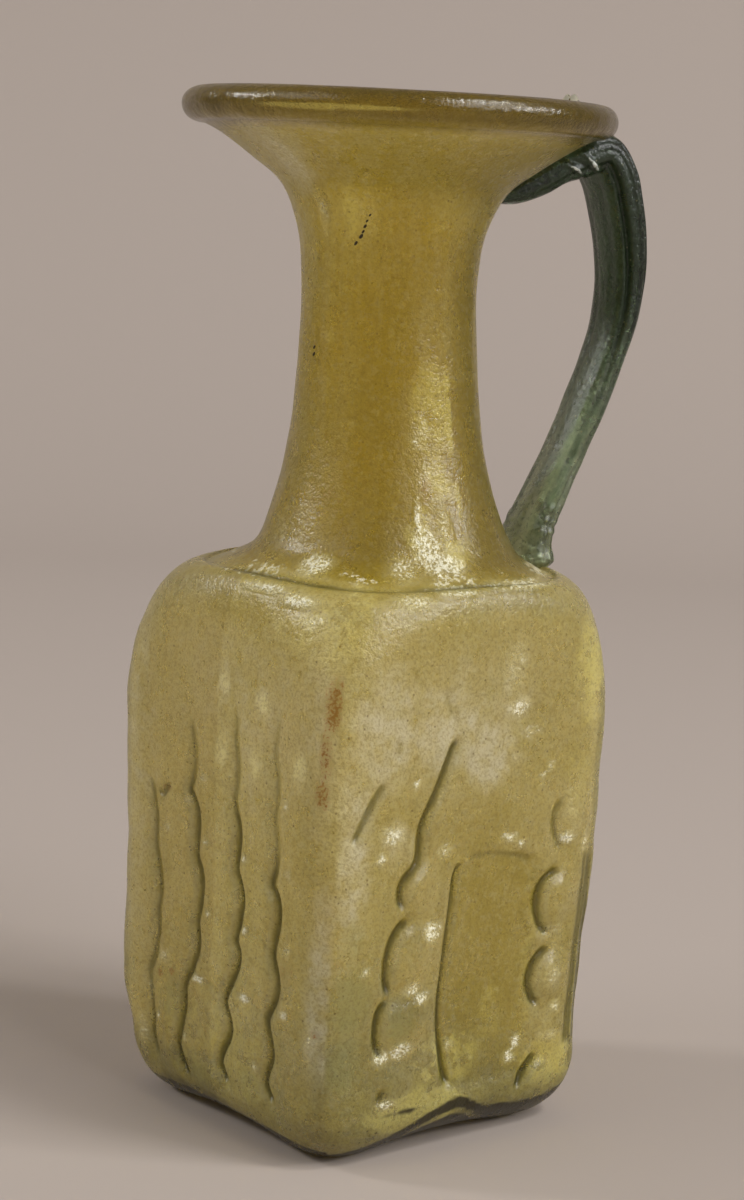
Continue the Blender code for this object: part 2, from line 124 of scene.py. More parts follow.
PANEL_LINES = [  # grooves of the face with the sunk panel: depth, then (s, z) points
    (0.8, [(-2.6, 51.8), (-3.8, 49.8), (-4.5, 42.6), (-4.7, 33.9), (-4.9, 24.4), (-2.9, 14.5), (-1.5, 11)]),
    (0.35, [(-2.5, 51.4), (1.5, 52.3), (5.5, 51.9), (10, 51), (14.5, 49.3)]),
    (0.9, [
        (-5.5, 73.6), (-8.9, 65.5), (-12.4, 58.7), (-12.9, 53.1), (-15.7, 49.9), (-16.3, 47.5), (-15.4, 44.5),
    ]),
    (0.9, [(-13.6, 43.2), (-16.4, 41), (-17.8, 37), (-17.6, 32.5), (-16.4, 29.8)]),
    (0.9, [(-16.4, 29.8), (-18.6, 27.2), (-18.8, 22.5), (-17.4, 18.6)]),
    (0.5, [(-16.2, 14.4), (-17.6, 12.4), (-17.8, 10)]),
    (0.5, [(-20.4, 67.7), (-23.6, 63.6), (-27.4, 56.7)]),
    (0.25, [(-18.3, 75.5), (-18.6, 69.7)]),
    (0.25, [(-9.6, 82.5), (-8.2, 79), (-6.2, 75.8)]),
    (0.45, [(20.2, 60.8), (17.9, 57.4), (18.6, 53.2), (20.5, 50.4)]),
    (0.85, [(20.3, 47.8), (16.6, 45.6), (15.7, 41.6), (17, 37.6), (19.4, 35.4)]),
    (0.85, [(19.8, 33.6), (16.6, 31.2), (15.6, 27.6), (16.6, 24.4), (18.6, 22.6)]),
    (0.9, [(18.7, 14.2), (16.4, 11.8), (13.3, 7)]),
    (0.5, [(26.6, 50.5), (26.5, 38), (26.4, 26), (25.7, 13.1)]),
    (0.45, [(28.0, 50), (28.5, 33), (28.3, 12.7)]),
]
PANEL_SIDES, PANEL_FOOT, PANEL_TOP, PANEL_DEPTH = (-4.6, 15.2), 10.5, 51.5, 0.7
BEADS = [  # middle s and z, half width, half height, rise
    (-12.4, 48.0, 4.6, 5.6, 1.0), (-12.2, 36.2, 5.6, 6.2, 1.3), (-12.8, 24.4, 5.8, 6.0, 1.3),
    (-14.8, 13.6, 4.6, 4.8, 0.8), (22.6, 56.0, 4.6, 6.6, 1.0), (20.4, 42.0, 5.0, 6.2, 1.3),
    (20.6, 28.2, 5.0, 5.8, 1.3), (21.4, 17.6, 4.6, 4.8, 1.0), (18.8, 9.6, 3.6, 3.4, 0.6),
]
HOLLOW = (10.7, 75.4, 5.0, 4.0, -0.8)  # dimple under the shoulder
HIDDEN_SHARE, HIDDEN_FILMS = 0.6, 0.7  # depth and films of the two faces that the photograph doesn't show
HIDDEN_SHIFT = (0.8, -1.5)  # and how far their pattern is moved, in s and z
FACE_EDGE, FACE_EDGE_FADE = 31.5, 3.0  # the relief ends at this |s|
GROOVE_HALF, LIP_MIDDLE, LIP_HALF, LIP_SHARE = 1.5, 2.4, 1.6, 0.35  # a groove, and the low lips beside it
RELIEF_FOOT, RELIEF_CEILING, RELIEF_FADE = 4.0, 89.0, 7.0
LINE_REACH, LINE_FADE = 2.6, 2.5  # how far from a groove its offset is kept, and over what its ends fade

# Films, stains and painted light and shade on the faces: (s, z, half width, half height, amount)
LEFT, RIGHT = "left", "right"
# Painted highlights: small glints on the relief and along the crest of the shoulder
GLINTS = {
    LEFT: [
        (-4, 26.2, 3.0, 1.3, 1.1), (9.3, 26.2, 2.6, 1.4, 1.2), (20.4, 26.2, 1.8, 1.4, 1.0),
        (20.5, 37.5, 1.5, 1.3, 0.9), (8.7, 37.9, 1.4, 1.2, 1.0), (-2.2, 38.4, 1.5, 1.1, 0.9),
        (7.6, 50.3, 1.4, 1.2, 0.9), (20.2, 50.4, 1.2, 1.1, 0.9), (-3.5, 50.8, 1.3, 1.0, 0.9),
        (19.3, 61.9, 1.3, 1.4, 0.8), (-14.4, 51.2, 1.6, 1.3, 0.7), (12.7, 14.8, 1.2, 1.2, 0.9),
        (-8.1, 14.3, 1.6, 1.3, 0.8), (-14.6, 27.7, 3.0, 2.0, 0.75), (-16.1, 16, 1.4, 1.2, 0.8),
        (-22.7, 12, 2.4, 5, 0.7), (26.4, 23, 1.8, 4.5, 0.65), (-19.4, 20.8, 0.9, 4.0, 1.0),
        (-4, 62, 1.6, 1.2, 0.8), (7.5, 97, 8, 1.1, 1.0), (16, 95.8, 5.5, 1.4, 1.1),
        (21, 93, 3.2, 2.4, 0.8),
    ],
    RIGHT: [
        (8.6, 77.2, 3.8, 2.4, 1.1), (-18.9, 58, 3.6, 2.6, 0.9), (7.5, 54.4, 2.4, 1.2, 1.0),
        (10, 53, 1.1, 1.0, 1.2), (20.6, 52.9, 2.8, 1.6, 1.2), (-7.4, 53.8, 2.4, 1.4, 0.8),
        (-21, 54, 1.6, 1.1, 1.1), (-8.7, 40, 2.8, 2.4, 1.2), (-12, 30.4, 2.6, 1.7, 1.0),
        (-9.6, 28.4, 2.4, 1.5, 1.2), (-17.6, 28.7, 1.6, 1.1, 0.9), (-17.6, 19.2, 3.0, 1.9, 1.1),
        (-13.6, 19.8, 3.6, 2.2, 1.2), (12.1, 14, 1.9, 1.9, 1.1), (13.7, 16.4, 1.6, 2.2, 1.1),
        (-16.4, 10.7, 2.6, 1.4, 1.1), (-22.6, 34.6, 1.4, 1.2, 0.9), (-2.2, 18.6, 1.4, 1.3, 0.8),
        (19.2, 36.3, 3.6, 1.5, 0.8), (20, 28, 2.8, 3.0, 0.7), (22.4, 21.9, 1.8, 1.5, 0.8),
        (20.5, 16.8, 3.2, 1.3, 0.7), (-14.2, 66.2, 1.1, 1.0, 1.0), (16.4, 66.1, 1.2, 1.0, 1.0),
        (14.7, 64.7, 1.0, 1.0, 0.9), (25.8, 51.8, 1.4, 3.0, 0.8), (6.3, 85, 4, 6, 0.6),
        (-16, 96.8, 5, 1.5, 0.85), (-7, 98, 7, 1.0, 1.0), (-22, 94.5, 3.4, 3.0, 0.25),
        (-25, 89.5, 2.6, 4.5, 0.15), (8, 98.2, 16, 0.9, 0.9),
    ],
}
HAZES = {
    LEFT: [
        (-24, 60, 12, 60, 0.5), (12, 74, 26, 34, 0.45), (-4, 80, 26, 26, 0.4), (28, 30, 4, 30, 0.4),
        *((s, z, OVAL_HALF, half, haze) for s, z, half, haze, light in RAISED_OVALS),
    ],
    RIGHT: [
        (2, 70, 11, 10, 0.8), (-8, 75, 16, 13, 0.75), (-20, 76, 10, 17, 0.7), (-26, 58, 6, 26, 0.45),
        (-4, 76, 34, 22, 0.5), (21.5, 41, 4, 6, 0.4), (21, 28, 4, 6, 0.4), (22, 56, 5, 6, 0.4),
        (-18, 56, 7, 8, 0.5),
    ],
}
GREENS = {
    LEFT: [
        (-12, 20, 6, 8, 0.8), (-4, 9, 8, 5, 0.6), (11, 12, 6, 8, 0.6), (-3, 30, 5, 9, 0.5),
        (8, 30, 5, 9, 0.5), (28, 26, 3, 26, 0.6),
    ],
    RIGHT: [
        (-25.3, 30.6, 6, 9, 1.0), (-26, 41, 4, 6, 0.7), (-15, 25, 5, 7, 0.7), (-26, 19, 6, 8, 0.8),
        (-22, 9, 8, 5, 0.4),
    ],
}
# Mostly painted light: glow through the glass near the right corner and low on the right face, highlights by
# the crest and a lighter left face; on the raised ovals, their paler tone
LIGHTS = {
    LEFT: [
        (20, 91, 12, 8, 0.55), (0, 40, 26, 40, 0.3),
        *((s, z, OVAL_HALF, half, light) for s, z, half, haze, light in RAISED_OVALS),
    ],
    RIGHT: [
        (25, 83, 7, 15, 0.9), (23, 62, 6, 12, 0.5), (-24.5, 92, 5, 6, 0.2), (-18, 95.5, 10, 3.5, 0.2),
        (-3, 17, 9, 7, 0.55), (-9, 8.5, 13, 4.5, 1.0), (14.5, 34, 2.4, 20, 0.55), (7, 24, 4, 7, 0.4),
        (21, 12, 8, 6, 0.7),
    ],
}
DEEPS = {
    LEFT: [(4, 93, 13, 4, 0.6), (23, 55, 6, 30, 0.3)],
    RIGHT: [(2, 57, 16, 8, 0.45), (-12, 27, 4, 4, 0.6)],
}
STAINS = {
    LEFT: [
        (28.9, 81.5, 3.0, 6.5, 0.75), (29.0, 78.5, 2.0, 4.5, 1.0), (28.3, 72, 2.0, 7, 0.9),
        (27.7, 65.5, 2.2, 4.4, 1.0), (-15.3, 24.4, 1.4, 1.2, 1.0), (-11.8, 25.5, 1.4, 1.1, 1.0),
        (27.4, 24.6, 1.6, 1.4, 0.8), (21, 34, 6, 5, 0.45), (-15, 58.3, 2.6, 1.2, 0.9),
    ],
    RIGHT: [(-28, 37, 1.4, 1.4, 0.7), (1.5, 63, 1.4, 1.5, 0.5)],
}
# Painted shade: along the foot of the left face, by the right corner of the right face, and a thin line low
# on it
DARKS = {LEFT: [(-8, 5.0, 24, 2.2, 0.4)], RIGHT: [(29, 30, 2.2, 26, 0.5), (-12, 8.6, 8, 0.9, 0.7)]}
BASE_BANDS = {  # top edge of the painted shade along the base, for its contact shadow and thick glass: (s, z)
    LEFT: [(-32, 4.6), (-20, 4.4), (-8, 4.8), (4, 4.4), (16, 4.6), (26, 3.6), (32, 2.6)],
    RIGHT: [
        (-30, 2.4), (-23.5, 2.8), (-17.3, 4.2), (-12.9, 5.4), (-8.4, 7.4), (-3.7, 9.0), (1.1, 9.6),
        (5.7, 7.3), (10.4, 6.4), (15.3, 6.0), (20.1, 6.1), (25.4, 7.0), (30, 7.4),
    ],
}
BAND_AMOUNT, BAND_EDGE = 1.1, 1.6  # painted shade in the band, and mm over which it sets in
BAND_GAP = (-2, 15, 3.3, 1.3, 0.9)  # a lighter streak in the painted shade: middle s, half width, mm below edge, half height, share
FACE_FILMS = {  # every film that the faces carry
    "haze": HAZES, "light": LIGHTS, "green": GREENS, "dark": DARKS, "glint": GLINTS, "deep": DEEPS,
    "stain": STAINS,
}
PANEL_DEEP = 0.7  # how deep the colour of the sunk panel is

# The neck's films: (azimuth in degrees, z, half width in degrees, half height in mm, amount)
# Painted light: the bright band on the neck's right, highlights on its left edge and the funnel, and the
# bright line inside the rolled rim
NECK_LIGHTS = [
    (-102, 128, 19, 12, 0.9), (-90, 127, 5, 13, 1.1), (-99, 116, 13, 9, 0.9), (-88, 112, 4, 5, 1.0),
    (-113, 107, 12, 8, 0.8), (-154, 160, 7, 6, 1.1), (-95, 104, 14, 6, 0.8), (-168, 140, 8, 24, 0.5),
    (-148, 176.35, 28, 0.6, 1.8),
]
# Painted highlights round the foot of the neck and on the left of the funnel
NECK_GLINTS = [
    (-110, 104, 11, 5.5, 1.2), (-104, 101.5, 16, 2.6, 1.2), (-113, 109, 3, 5, 1.1),
    (-158, 100.8, 11, 2.4, 1.2), (-111, 122, 8, 4.5, 0.75), (-108, 115, 10, 6, 0.7),
    (-122, 101, 10, 3, 0.9), (-100, 107, 6, 6, 0.8), (-176, 168, 9, 7, 0.8), (-172, 160, 6, 4, 0.8),
]
NECK_STAINS = [(-108, 114, 7, 4, 0.8), (176, 136, 2, 1.6, 1.0), (-160, 112, 10, 3, 0.5)]
NECK_HAZES = [(-174, 140, 9, 40, 0.35), (180, 168, 22, 9, 0.7), (-130, 168, 60, 8, 0.3)]
NECK_FILMS = {"light": NECK_LIGHTS, "glint": NECK_GLINTS, "stain": NECK_STAINS, "haze": NECK_HAZES}
NECK_EDGE = -87  # azimuth where the neck's painted light ends
BUBBLES = [  # small open ones: azimuth, z, half length
    (-142.6, 159.4, 0.3), (-144.2, 158.4, 0.32), (-145.5, 157.5, 0.42), (-147.0, 156.6, 0.36),
    (-148.4, 155.8, 0.5), (-151.4, 154.6, 0.45), (176.5, 136.6, 0.4), (176, 135.4, 0.45),
]
BUBBLE_SIDES, BUBBLE_LEAN, BUBBLE_SIZE = 10, (0.6, 0.8), (0.45, 0.55, 1.0)  # size: out, across and along
# A short crack across the first column: depth, (s, z) points
CRACK = (0.5, [(-18.9, 57.8), (-17.6, 57.0), (-16.0, 57.2), (-15.0, 58.5), (-13.0, 59.4)])

# Films that run round the jug, with azimuths in degrees
SEEN_CORNER = -135.0
# CORNER_LIGHT is a painted highlight down the corner in view
CORNER_HAZE, CORNER_LIGHT = (0.27, 13), (0.45, 10)  # amount, half width in degrees
# FOOT_LIGHT is a painted glow of light through the lower body
FOOT_LIGHT, FOOT_DEEP = (0.38, 34, 20), (0.42, 22, 14)  # amount, the height where it begins, mm down to full
NECK_DEEPS = [(-66, 24, 1.0, 165, 20), (-134, 22, 0.4, 150, 10)]  # azimuth, half width, amount, top, fade
# Painted shade on the funnel under the rim, deepest on its right
FUNNEL_DEEP = (-80, 40, 158, 8)  # azimuth, half width, the height where it begins, mm up to full
PALE_SIDE = (-175, 60)  # the body's palest side: azimuth, half width. A pallor over the whole body, and on this side painted light
CREASE_SIDE, CREASE_SEEN = -130, 78  # the crease's dark line, painted shade with some dirt, is full this many degrees to either side
RIM_FILM = 7.2  # the rim's own colour begins this far below its top

# Unevenness of the blown skin: (depth, length of its waves, seed)
SKIN_WAVES = [(0.22, 26, 1), (0.17, 9, 2), (0.08, 4, 3)]
RIM_WAVE = (0.25, 40, 4)
FAR_CORNER_DENT = 1.2  # the corner at the back of the left face is pressed in near its foot

# Handle: a strap in an upright plane, which turns about Z from +X by HANDLE_TURN degrees
HANDLE_TURN = -13.0
HANDLE_SWAY = 1.29  # and stands this far along SWAY_WAY
STRAP_WIDTH, STRAP_THICK = 10.8, 5.8
HANDLE_REACH = 46.6  # the strap's middle line where it is farthest out
# On the funnel: share of the way from the neck to the rim, width, thickness
TAIL = [(0.19, 0.66, 0.38), (0.36, 0.86, 0.88), (0.54, 0.98, 1.13), (0.72, 1.1, 1.18)]
TAIL_DROP = -0.3  # how far below the funnel's skin the tail lies: it is sunk in
# Under the rim: mm outside it, mm below its top, width, thickness
TURN_OVER = [(-2.0, 8.7, 1.22, 1.3), (2.3, 7.7, 1.30, 1.36)]
STRAP = [  # share of the neck's height, share of the reach, width, thickness
    (0.862, 0.78, 1.33, 1.36), (0.807, 0.874, 1.30, 1.29), (0.72, 0.97, 1.22, 1.21),
    (0.631, 1.0, 1.14, 1.13), (0.543, 0.953, 1.06, 1.05), (0.454, 0.828, 1.03, 1.02),
    (0.364, 0.663, 1.0, 1.0), (0.275, 0.479, 0.98, 1.0), (0.186, 0.272, 1.0, 1.03),
    (0.111, 0.1, 1.07, 1.12), (0.07, 0.024, 1.17, 1.21), (0.045, 0.0, 1.22, 1.28),
]
FOOT_OUT = 0.8  # how far the foot's middle line stands outside the crest of the shoulder
STRAP_GROOVES = [  # lengthwise: degrees round the strap from its outward side, depth, half width in degrees
    (117, 0.95, 12), (82, 0.22, 8), (57, 0.38, 9), (31, 0.22, 8), (2, 0.34, 10), (-34, 0.3, 9),
    (-72, 0.26, 8), (-112, 0.7, 12), (157, 0.2, 12), (-158, 0.24, 10),
]
# The raised folds also carry painted highlights
FOLDS = [  # across the turn-over: share of the length, slope, rise, half width as a share of the length
    (0.165, 0.07, 0.45, 0.010), (0.186, 0.08, -0.4, 0.010), (0.206, 0.05, 0.5, 0.011),
]
FOLD_AZIMUTH = 100.0  # degrees round the strap of the folds' middle
STRAP_WAVES = [(0.25, 16, 11), (0.12, 6, 12)]
WRINKLE_DEPTH, WRINKLE_PITCH, WRINKLE_HEIGHT = 0.26, 2.3, 105.0  # across the strap over its foot
SINK_IN = 0.35  # how deep the handle's skin lies in the vessel's where they are fused

# Camera, from the outline of the jug in the 744 x 1200 photograph
LENS, SENSOR = 78.28, 36.0  # mm, the sensor's height
CAMERA_TURN = 39.78  # degrees about Z from straight in front of the -Y face towards the -X face
CAMERA_ASIDE, CAMERA_BACK, CAMERA_HEIGHT = 0.5, 457.6, 161.0
CAMERA_DOWN, CAMERA_ROLL = 8.59, 2.58  # degrees
LIGHT_TARGET = 100.0  # height that the lights face

# Mesh
SEEN_STEPS, HIDDEN_STEPS, CORNER_STEPS = 108, 60, 6
EVEN_PART = 0.88  # share of a face that its even steps cover
STRAP_SIDES, SPAN_STEPS = 96, 14


def curve_at(x, knots):
    """A smooth curve through knots (x, y): a cubic between each two, with slopes from the knots beside."""
    xs, ys = np.array(knots, float).T
    slopes = np.gradient(ys, xs)
    i = np.clip(np.searchsorted(xs, x) - 1, 0, len(xs) - 2)
    span = xs[i + 1] - xs[i]
    t = np.clip((x - xs[i]) / span, 0, 1)
    rise = t * t * (3 - 2 * t)
    bend = slopes[i] * t * (1 - t) ** 2 - slopes[i + 1] * t * t * (1 - t)
    return ys[i] * (1 - rise) + ys[i + 1] * rise + span * bend


def smooth_path(knots, steps):
    """A Catmull-Rom curve through the knots, with the same number of steps in each span."""
    knots = np.asarray(knots, float)
    ends = np.vstack([2 * knots[0] - knots[1], knots, 2 * knots[-1] - knots[-2]])
    a, b, c, d = (ends[k : len(knots) - 1 + k, None] for k in range(4))
    t = (np.arange(steps) / steps)[None, :, None]
    curve = b + 0.5 * ((c - a) * t + (2 * a - 5 * b + 4 * c - d) * t**2 + (3 * b - a - 3 * c + d) * t**3)
    return np.vstack([curve.reshape(-1, knots.shape[1]), knots[-1]])


def hump(x):
    """A smooth hump, the square of 1 - x squared: 1 at 0, falling to 0 at 1 and beyond."""
    return np.clip(1 - x * x, 0, 1) ** 2


def oval(s, z, s0, z0, half_s, half_z):
    """A smooth hump over an oval: the hump of the distance from (s0, z0) in shares of its half sizes."""
    return hump(np.hypot((s - s0) / half_s, (z - z0) / half_z))


def fade(x):
    """A smooth step, 3 x squared - 2 x cubed: 0 below 0, 1 above 1."""
    t = np.clip(x, 0, 1)
    return t * t * (3 - 2 * t)


def turn_from(turn, azimuth):
    """Degrees from the azimuth to the turn, from -180 to 180."""
    return (turn - azimuth + 180) % 360 - 180


def waves(points, pitch, seed):
    """Unevenness from -1 to 1: the mean of eight sine waves about pitch mm long, in ways that seed draws."""
    draw = np.random.default_rng(seed)
    ways = draw.normal(size=(8, 3))
    ways /= np.linalg.norm(ways, axis=1, keepdims=True)
    ways *= 2 * math.pi / (pitch * draw.uniform(0.7, 1.5, (8, 1)))
    return np.sin(points @ ways.T + draw.uniform(0, 2 * math.pi, 8)).mean(axis=-1)


def azimuths():
    """Ring angles: arctangents of even steps along each face, closer on the two in view, and a few even
    angles round each corner."""
    edge = math.atan(EVEN_PART)
    turns = []
    for quarter, steps in enumerate((HIDDEN_STEPS, HIDDEN_STEPS, SEEN_STEPS, SEEN_STEPS)):
        face = np.arctan(np.linspace(-EVEN_PART, EVEN_PART, steps + 1))
        corner = np.linspace(edge, math.pi / 2 - edge, CORNER_STEPS + 1)[1:-1]
        turns.append(np.concatenate([face, corner]) + quarter * math.pi / 2)
    return np.concatenate(turns)


def middle_at(z):
    """x and y of the middle of the ring at height z, as a last axis of two: SWAY_WAY times a smooth curve
    through the sways of the body and the neck."""
    knots = [(share * BODY_HEIGHT, sway) for share, sway in SWAY_BODY]
    knots += [(BODY_HEIGHT + share * NECK_LENGTH, sway) for share, sway in SWAY_NECK]
    return curve_at(z, knots)[..., None] * np.array(SWAY_WAY)


def turned_in(z, turn, inset, bend):
    """How far the shoulder has drawn in at height z: the inset times 1 - root(1 - share^bend), where the
    share climbs from 0 to 1 over the turn below the crest. A bend of 2 makes it a quarter of an ellipse."""
    share = np.clip((z - BODY_HEIGHT) / turn + 1, 0, 1)
    return inset * (1 - np.sqrt(1 - share**bend))


def undercut(z, radius):
    """How far a rounded lower edge has drawn in at height z: a quarter circle of that radius."""
    return radius - np.sqrt(radius**2 - np.maximum(radius - z, 0) ** 2)


def body_stations(z):
    """Half widths across the faces and radii at the corners, with the height of each, for body heights z.

    Both grow evenly with z, less the rounded foot and the turn of the shoulder. The height in the middle of
    a face is more than at the corners by the arch at the foot and by the crest's rise at the top.
    """
    half = BASE_HALF + (SHOULDER_HALF - BASE_HALF) * z / BODY_HEIGHT
    face = half - undercut(z, BASE_ROUND_FACE) - turned_in(z, FACE_TURN, FACE_INSET, FACE_BEND)
    corner = half * CORNER_RATIO - undercut(z, BASE_ROUND_CORNER)
    corner -= turned_in(z, CORNER_TURN, CORNER_INSET, CORNER_BEND)
    arch = BASE_ARCH * np.clip(1 - z / BASE_ROUND_CORNER, 0, 1)
    crest = FACE_CREST_RISE * np.clip(1 + (z - BODY_HEIGHT) / FACE_TURN, 0, 1) ** 2
    return np.stack([face, corner, z + arch + crest, z], axis=1)


def neck_outline():
    """Radius and height of the outside of the neck, from the flare to the underside of the rim: the neck's
    radius plus shares of the spread, at shares of the height of the flare and the funnel."""
    flare = SHOULDER_HALF - FACE_INSET - 3 * CREASE_WIDTH - NECK_RADIUS
    flare_height = FLARE_TOP * NECK_LENGTH
    rows = [(NECK_RADIUS + out * flare, BODY_HEIGHT + up * flare_height) for up, out in FLARE]
    spread = RIM_RADIUS - RIM_TUBE - NECK_RADIUS
    foot = BODY_HEIGHT + FUNNEL_FOOT * NECK_LENGTH
    height = HEIGHT - 2 * RIM_TUBE - foot
    return rows + [(NECK_RADIUS + out * spread, foot + up * height) for up, out in FUNNEL]


def rim_stations():
    """The rolled edge: an arc of radius RIM_TUBE from its underside over the top, as in body_stations."""
    turn = np.radians(np.linspace(-100, 95, 18))
    r = RIM_RADIUS - RIM_TUBE + RIM_TUBE * np.cos(turn)
    z = HEIGHT - RIM_TUBE + RIM_TUBE * np.sin(turn)
    return np.stack([r, r, z, z], axis=1)


def outer_stations():
    """The outside from the underside up to the top of the rim, as in body_stations: a smooth path through
    the scar, the hollow and the foot, then the body's stations, then a smooth path over the crease and up
    the neck, then the rolled edge."""
    rest = body_stations(np.zeros(1))[0]
    hollow = PONTIL_RADIUS + KICK
    underside = smooth_path([
        (PONTIL_RADIUS, PONTIL_RADIUS, 0, 0),
        (hollow, hollow, KICK / 2, KICK / 2),
        (0.7 * rest[0], 0.73 * rest[1], KICK, 0.7 * KICK),
        rest,
    ], 3)[:-1]
    low = BASE_ROUND_CORNER * (1 - np.cos(np.linspace(0, math.pi / 2, 18)))[:-1]
    straight = np.linspace(BASE_ROUND_CORNER, BODY_HEIGHT - FACE_TURN, 96)[:-1]
    high = BODY_HEIGHT - FACE_TURN * np.linspace(1, 0, 20) ** 1.6
    body = body_stations(np.concatenate([low, straight, high]))
    crest = body[-1]
    crease = [crest - (CREASE_WIDTH, CREASE_WIDTH, CREASE_DEPTH, CREASE_DEPTH)]
    crease.append(crest + (-3 * CREASE_WIDTH, -3.5 * CREASE_WIDTH, CREASE_DEPTH, CREASE_DEPTH))
    neck = [(r, r, z, z) for r, z in neck_outline()]
    rim = rim_stations()
    climb = smooth_path([crest, *crease, *neck, rim[0]], 4)
    return np.vstack([underside, body[:-1], climb[:-1], rim])


def inner_stations(outer):
    """The inside from the mouth down: every fourth outer station, moved in along its normal by one wall."""
    inner = outer.copy()
    for r, z in ((0, 2), (1, 3)):
        along = np.gradient(outer[:, [r, z]], axis=0)
        along /= np.linalg.norm(along, axis=1, keepdims=True)
        inner[:, r] -= WALL * along[:, 1]
        inner[:, z] += WALL * along[:, 0]
    lip = RIM_RADIUS - 2 * RIM_TUBE
    edge = ((lip + 0.6, HEIGHT - 0.3 * RIM_TUBE), (lip, HEIGHT - 0.8 * RIM_TUBE))
    mouth = [(r, r, z, z) for r, z in edge]
    floor = KICK + FLOOR_WALL
    below_rim = (inner[:, 2] < HEIGHT - 2 * RIM_TUBE) & (inner[:, 3] > BASE_ROUND_CORNER * 0.7)
    at_crease = (outer[:, 3] > BODY_HEIGHT - 1.2) & (outer[:, 3] < BODY_HEIGHT + WALL)
    wall = inner[below_rim & ~at_crease][::-4]
    low = wall[-1]
    corner = [low + (-1.2, -2.0, -2.6, -2.6), (*(low[:2] - (6.5, 9.0)), floor, floor)]
    return np.vstack([mouth, smooth_path([mouth[-1], wall[0]], 2)[1:-1], wall, corner])


def ring_grid(stations, turns):
    """Points of all rings as rows x turns x 3.

    A ring is r = face (|cos|^n + |sin|^n)^(-1/n), a circle for n = 2 and squarer the greater n is, with n
    from the ratio of its corner to its face. Its height goes from the face's to the corner's as |sin 2a|^3.
    """
    face, corner, face_z, corner_z = (column[:, None] for column in stations.T)
    n = 1 / np.maximum(0.5 - np.log2(np.clip(corner / face, 1.0, 1.4)), 0.004)
    r = face * (np.abs(np.cos(turns)) ** n + np.abs(np.sin(turns)) ** n) ** (-1 / n)
    z = face_z + (corner_z - face_z) * np.abs(np.sin(2 * turns)) ** 3
    flat = middle_at(z) + r[..., None] * np.stack([np.cos(turns), np.sin(turns)], axis=1)
    up_neck = np.clip((z - BODY_HEIGHT) / NECK_LENGTH, 0, 1)
    sink = RIM_TILT * (flat @ np.array(SWAY_WAY)) * up_neck**2
    return np.concatenate([flat, (z - sink)[..., None]], axis=2)


def beside(places, line):
    """Signed distance of places in a plane from a line of points, positive on its left as one goes along it,
    then how far along it the nearest place lies, and in which of its steps."""
    start, run = line[:-1], np.diff(line, axis=0)
    length = np.hypot(*run.T)
    away = places[..., None, :] - start
    share = np.clip((away * run).sum(axis=-1) / length**2, 0, 1)
    off = away - share[..., None] * run
    distance = np.hypot(off[..., 0], off[..., 1])
    nearest = distance.argmin(axis=-1)[..., None]
    side = np.sign(run[:, 0] * away[..., 1] - run[:, 1] * away[..., 0])
    begin = np.concatenate([[0], np.cumsum(length)[:-1]])
    along = np.take_along_axis(begin + share * length, nearest, -1)[..., 0]
    signed = np.take_along_axis(distance * side, nearest, -1)[..., 0]
    return signed, along, nearest[..., 0]


def line_offset(s, z, line):
    """Signed distance of the points (s, z) from a smooth line through the given ones, and how much of it is
    there: 1 along it, fading over the last LINE_FADE mm at either end."""
    line = smooth_path(line, 4)
    signed, along, _ = beside(np.stack([s, z], axis=-1), line)
    total = np.hypot(*np.diff(line, axis=0).T).sum()
    return signed, fade(np.minimum(along, total - along) / LINE_FADE + 0.1)


def engrave(height, offset, strength, s, z, depth, line):
    """Cuts a groove, a hump of the distance from the line, with a lower hump on either side as its lips, and
    keeps the offset from it where it is the strongest so far."""
    signed, there = line_offset(s, z, line)
    height -= depth * there * hump(signed / GROOVE_HALF)
    height += LIP_SHARE * depth * there * hump((np.abs(signed) - LIP_MIDDLE) / LIP_HALF)
    mark = there * np.minimum(depth / 0.8, 1) * hump(signed / LINE_REACH)
    stronger = mark > strength
    offset[stronger] = signed[stronger]
    strength[stronger] = mark[stronger]


def columns_relief(s, z):
    """Columns of rounded cells between wavy grooves: height, offset from the nearest groove, its strength.

    The grooves are the given lines bowed to the right by SCALLOP |sin(pi (z - SCALLOP_TOP) / SCALLOP_PITCH)|.
    The cells are humps from groove to groove, which swell and draw in with the same sine.
    """
    height, offset, strength = np.zeros((3, *s.shape))
    edges = [np.full_like(z, COLUMN_SIDES[0])]
    upward = np.clip((COLUMN_CEILING - z) / COLUMN_FADE, 0, 1) * np.clip((z - COLUMN_FOOT + 2) / 4, 0, 1)
    for depth, dark_end, line in COLUMN_LINES:
        points = smooth_path(line, 4)
        points[:, 0] += SCALLOP * (np.abs(np.sin(np.pi * (points[:, 1] - SCALLOP_TOP) / SCALLOP_PITCH)) - 0.5)
        lasting = 0.45 + 0.55 * fade((dark_end + DARK_FADE / 2 - z) / DARK_FADE)
        engrave(height, offset, strength, s, z, depth * lasting, points)
        edges.append(np.interp(z, points[:, 1], points[:, 0]))
    edges.append(np.full_like(z, COLUMN_SIDES[1]))
    waist = 0.6 + 0.4 * np.abs(np.sin(np.pi * (z - SCALLOP_TOP) / SCALLOP_PITCH)) ** 0.7
    for left, right in zip(edges[:-1], edges[1:]):
        height += CELL_BULGE * waist * hump((2 * s - left - right) / (right - left))
    for s0, z0, *_ in RAISED_OVALS:
        height += 0.25 * oval(s, z, s0, z0, 4.0, 4.6)
    for depth, line in CROSS_LINES:
        engrave(height, offset, strength, s, z, depth, line)
    height *= upward
    strength *= np.minimum(1.6 * upward, 1)
    engrave(height, offset, strength, s, z, *CRACK)
    return height, offset, strength


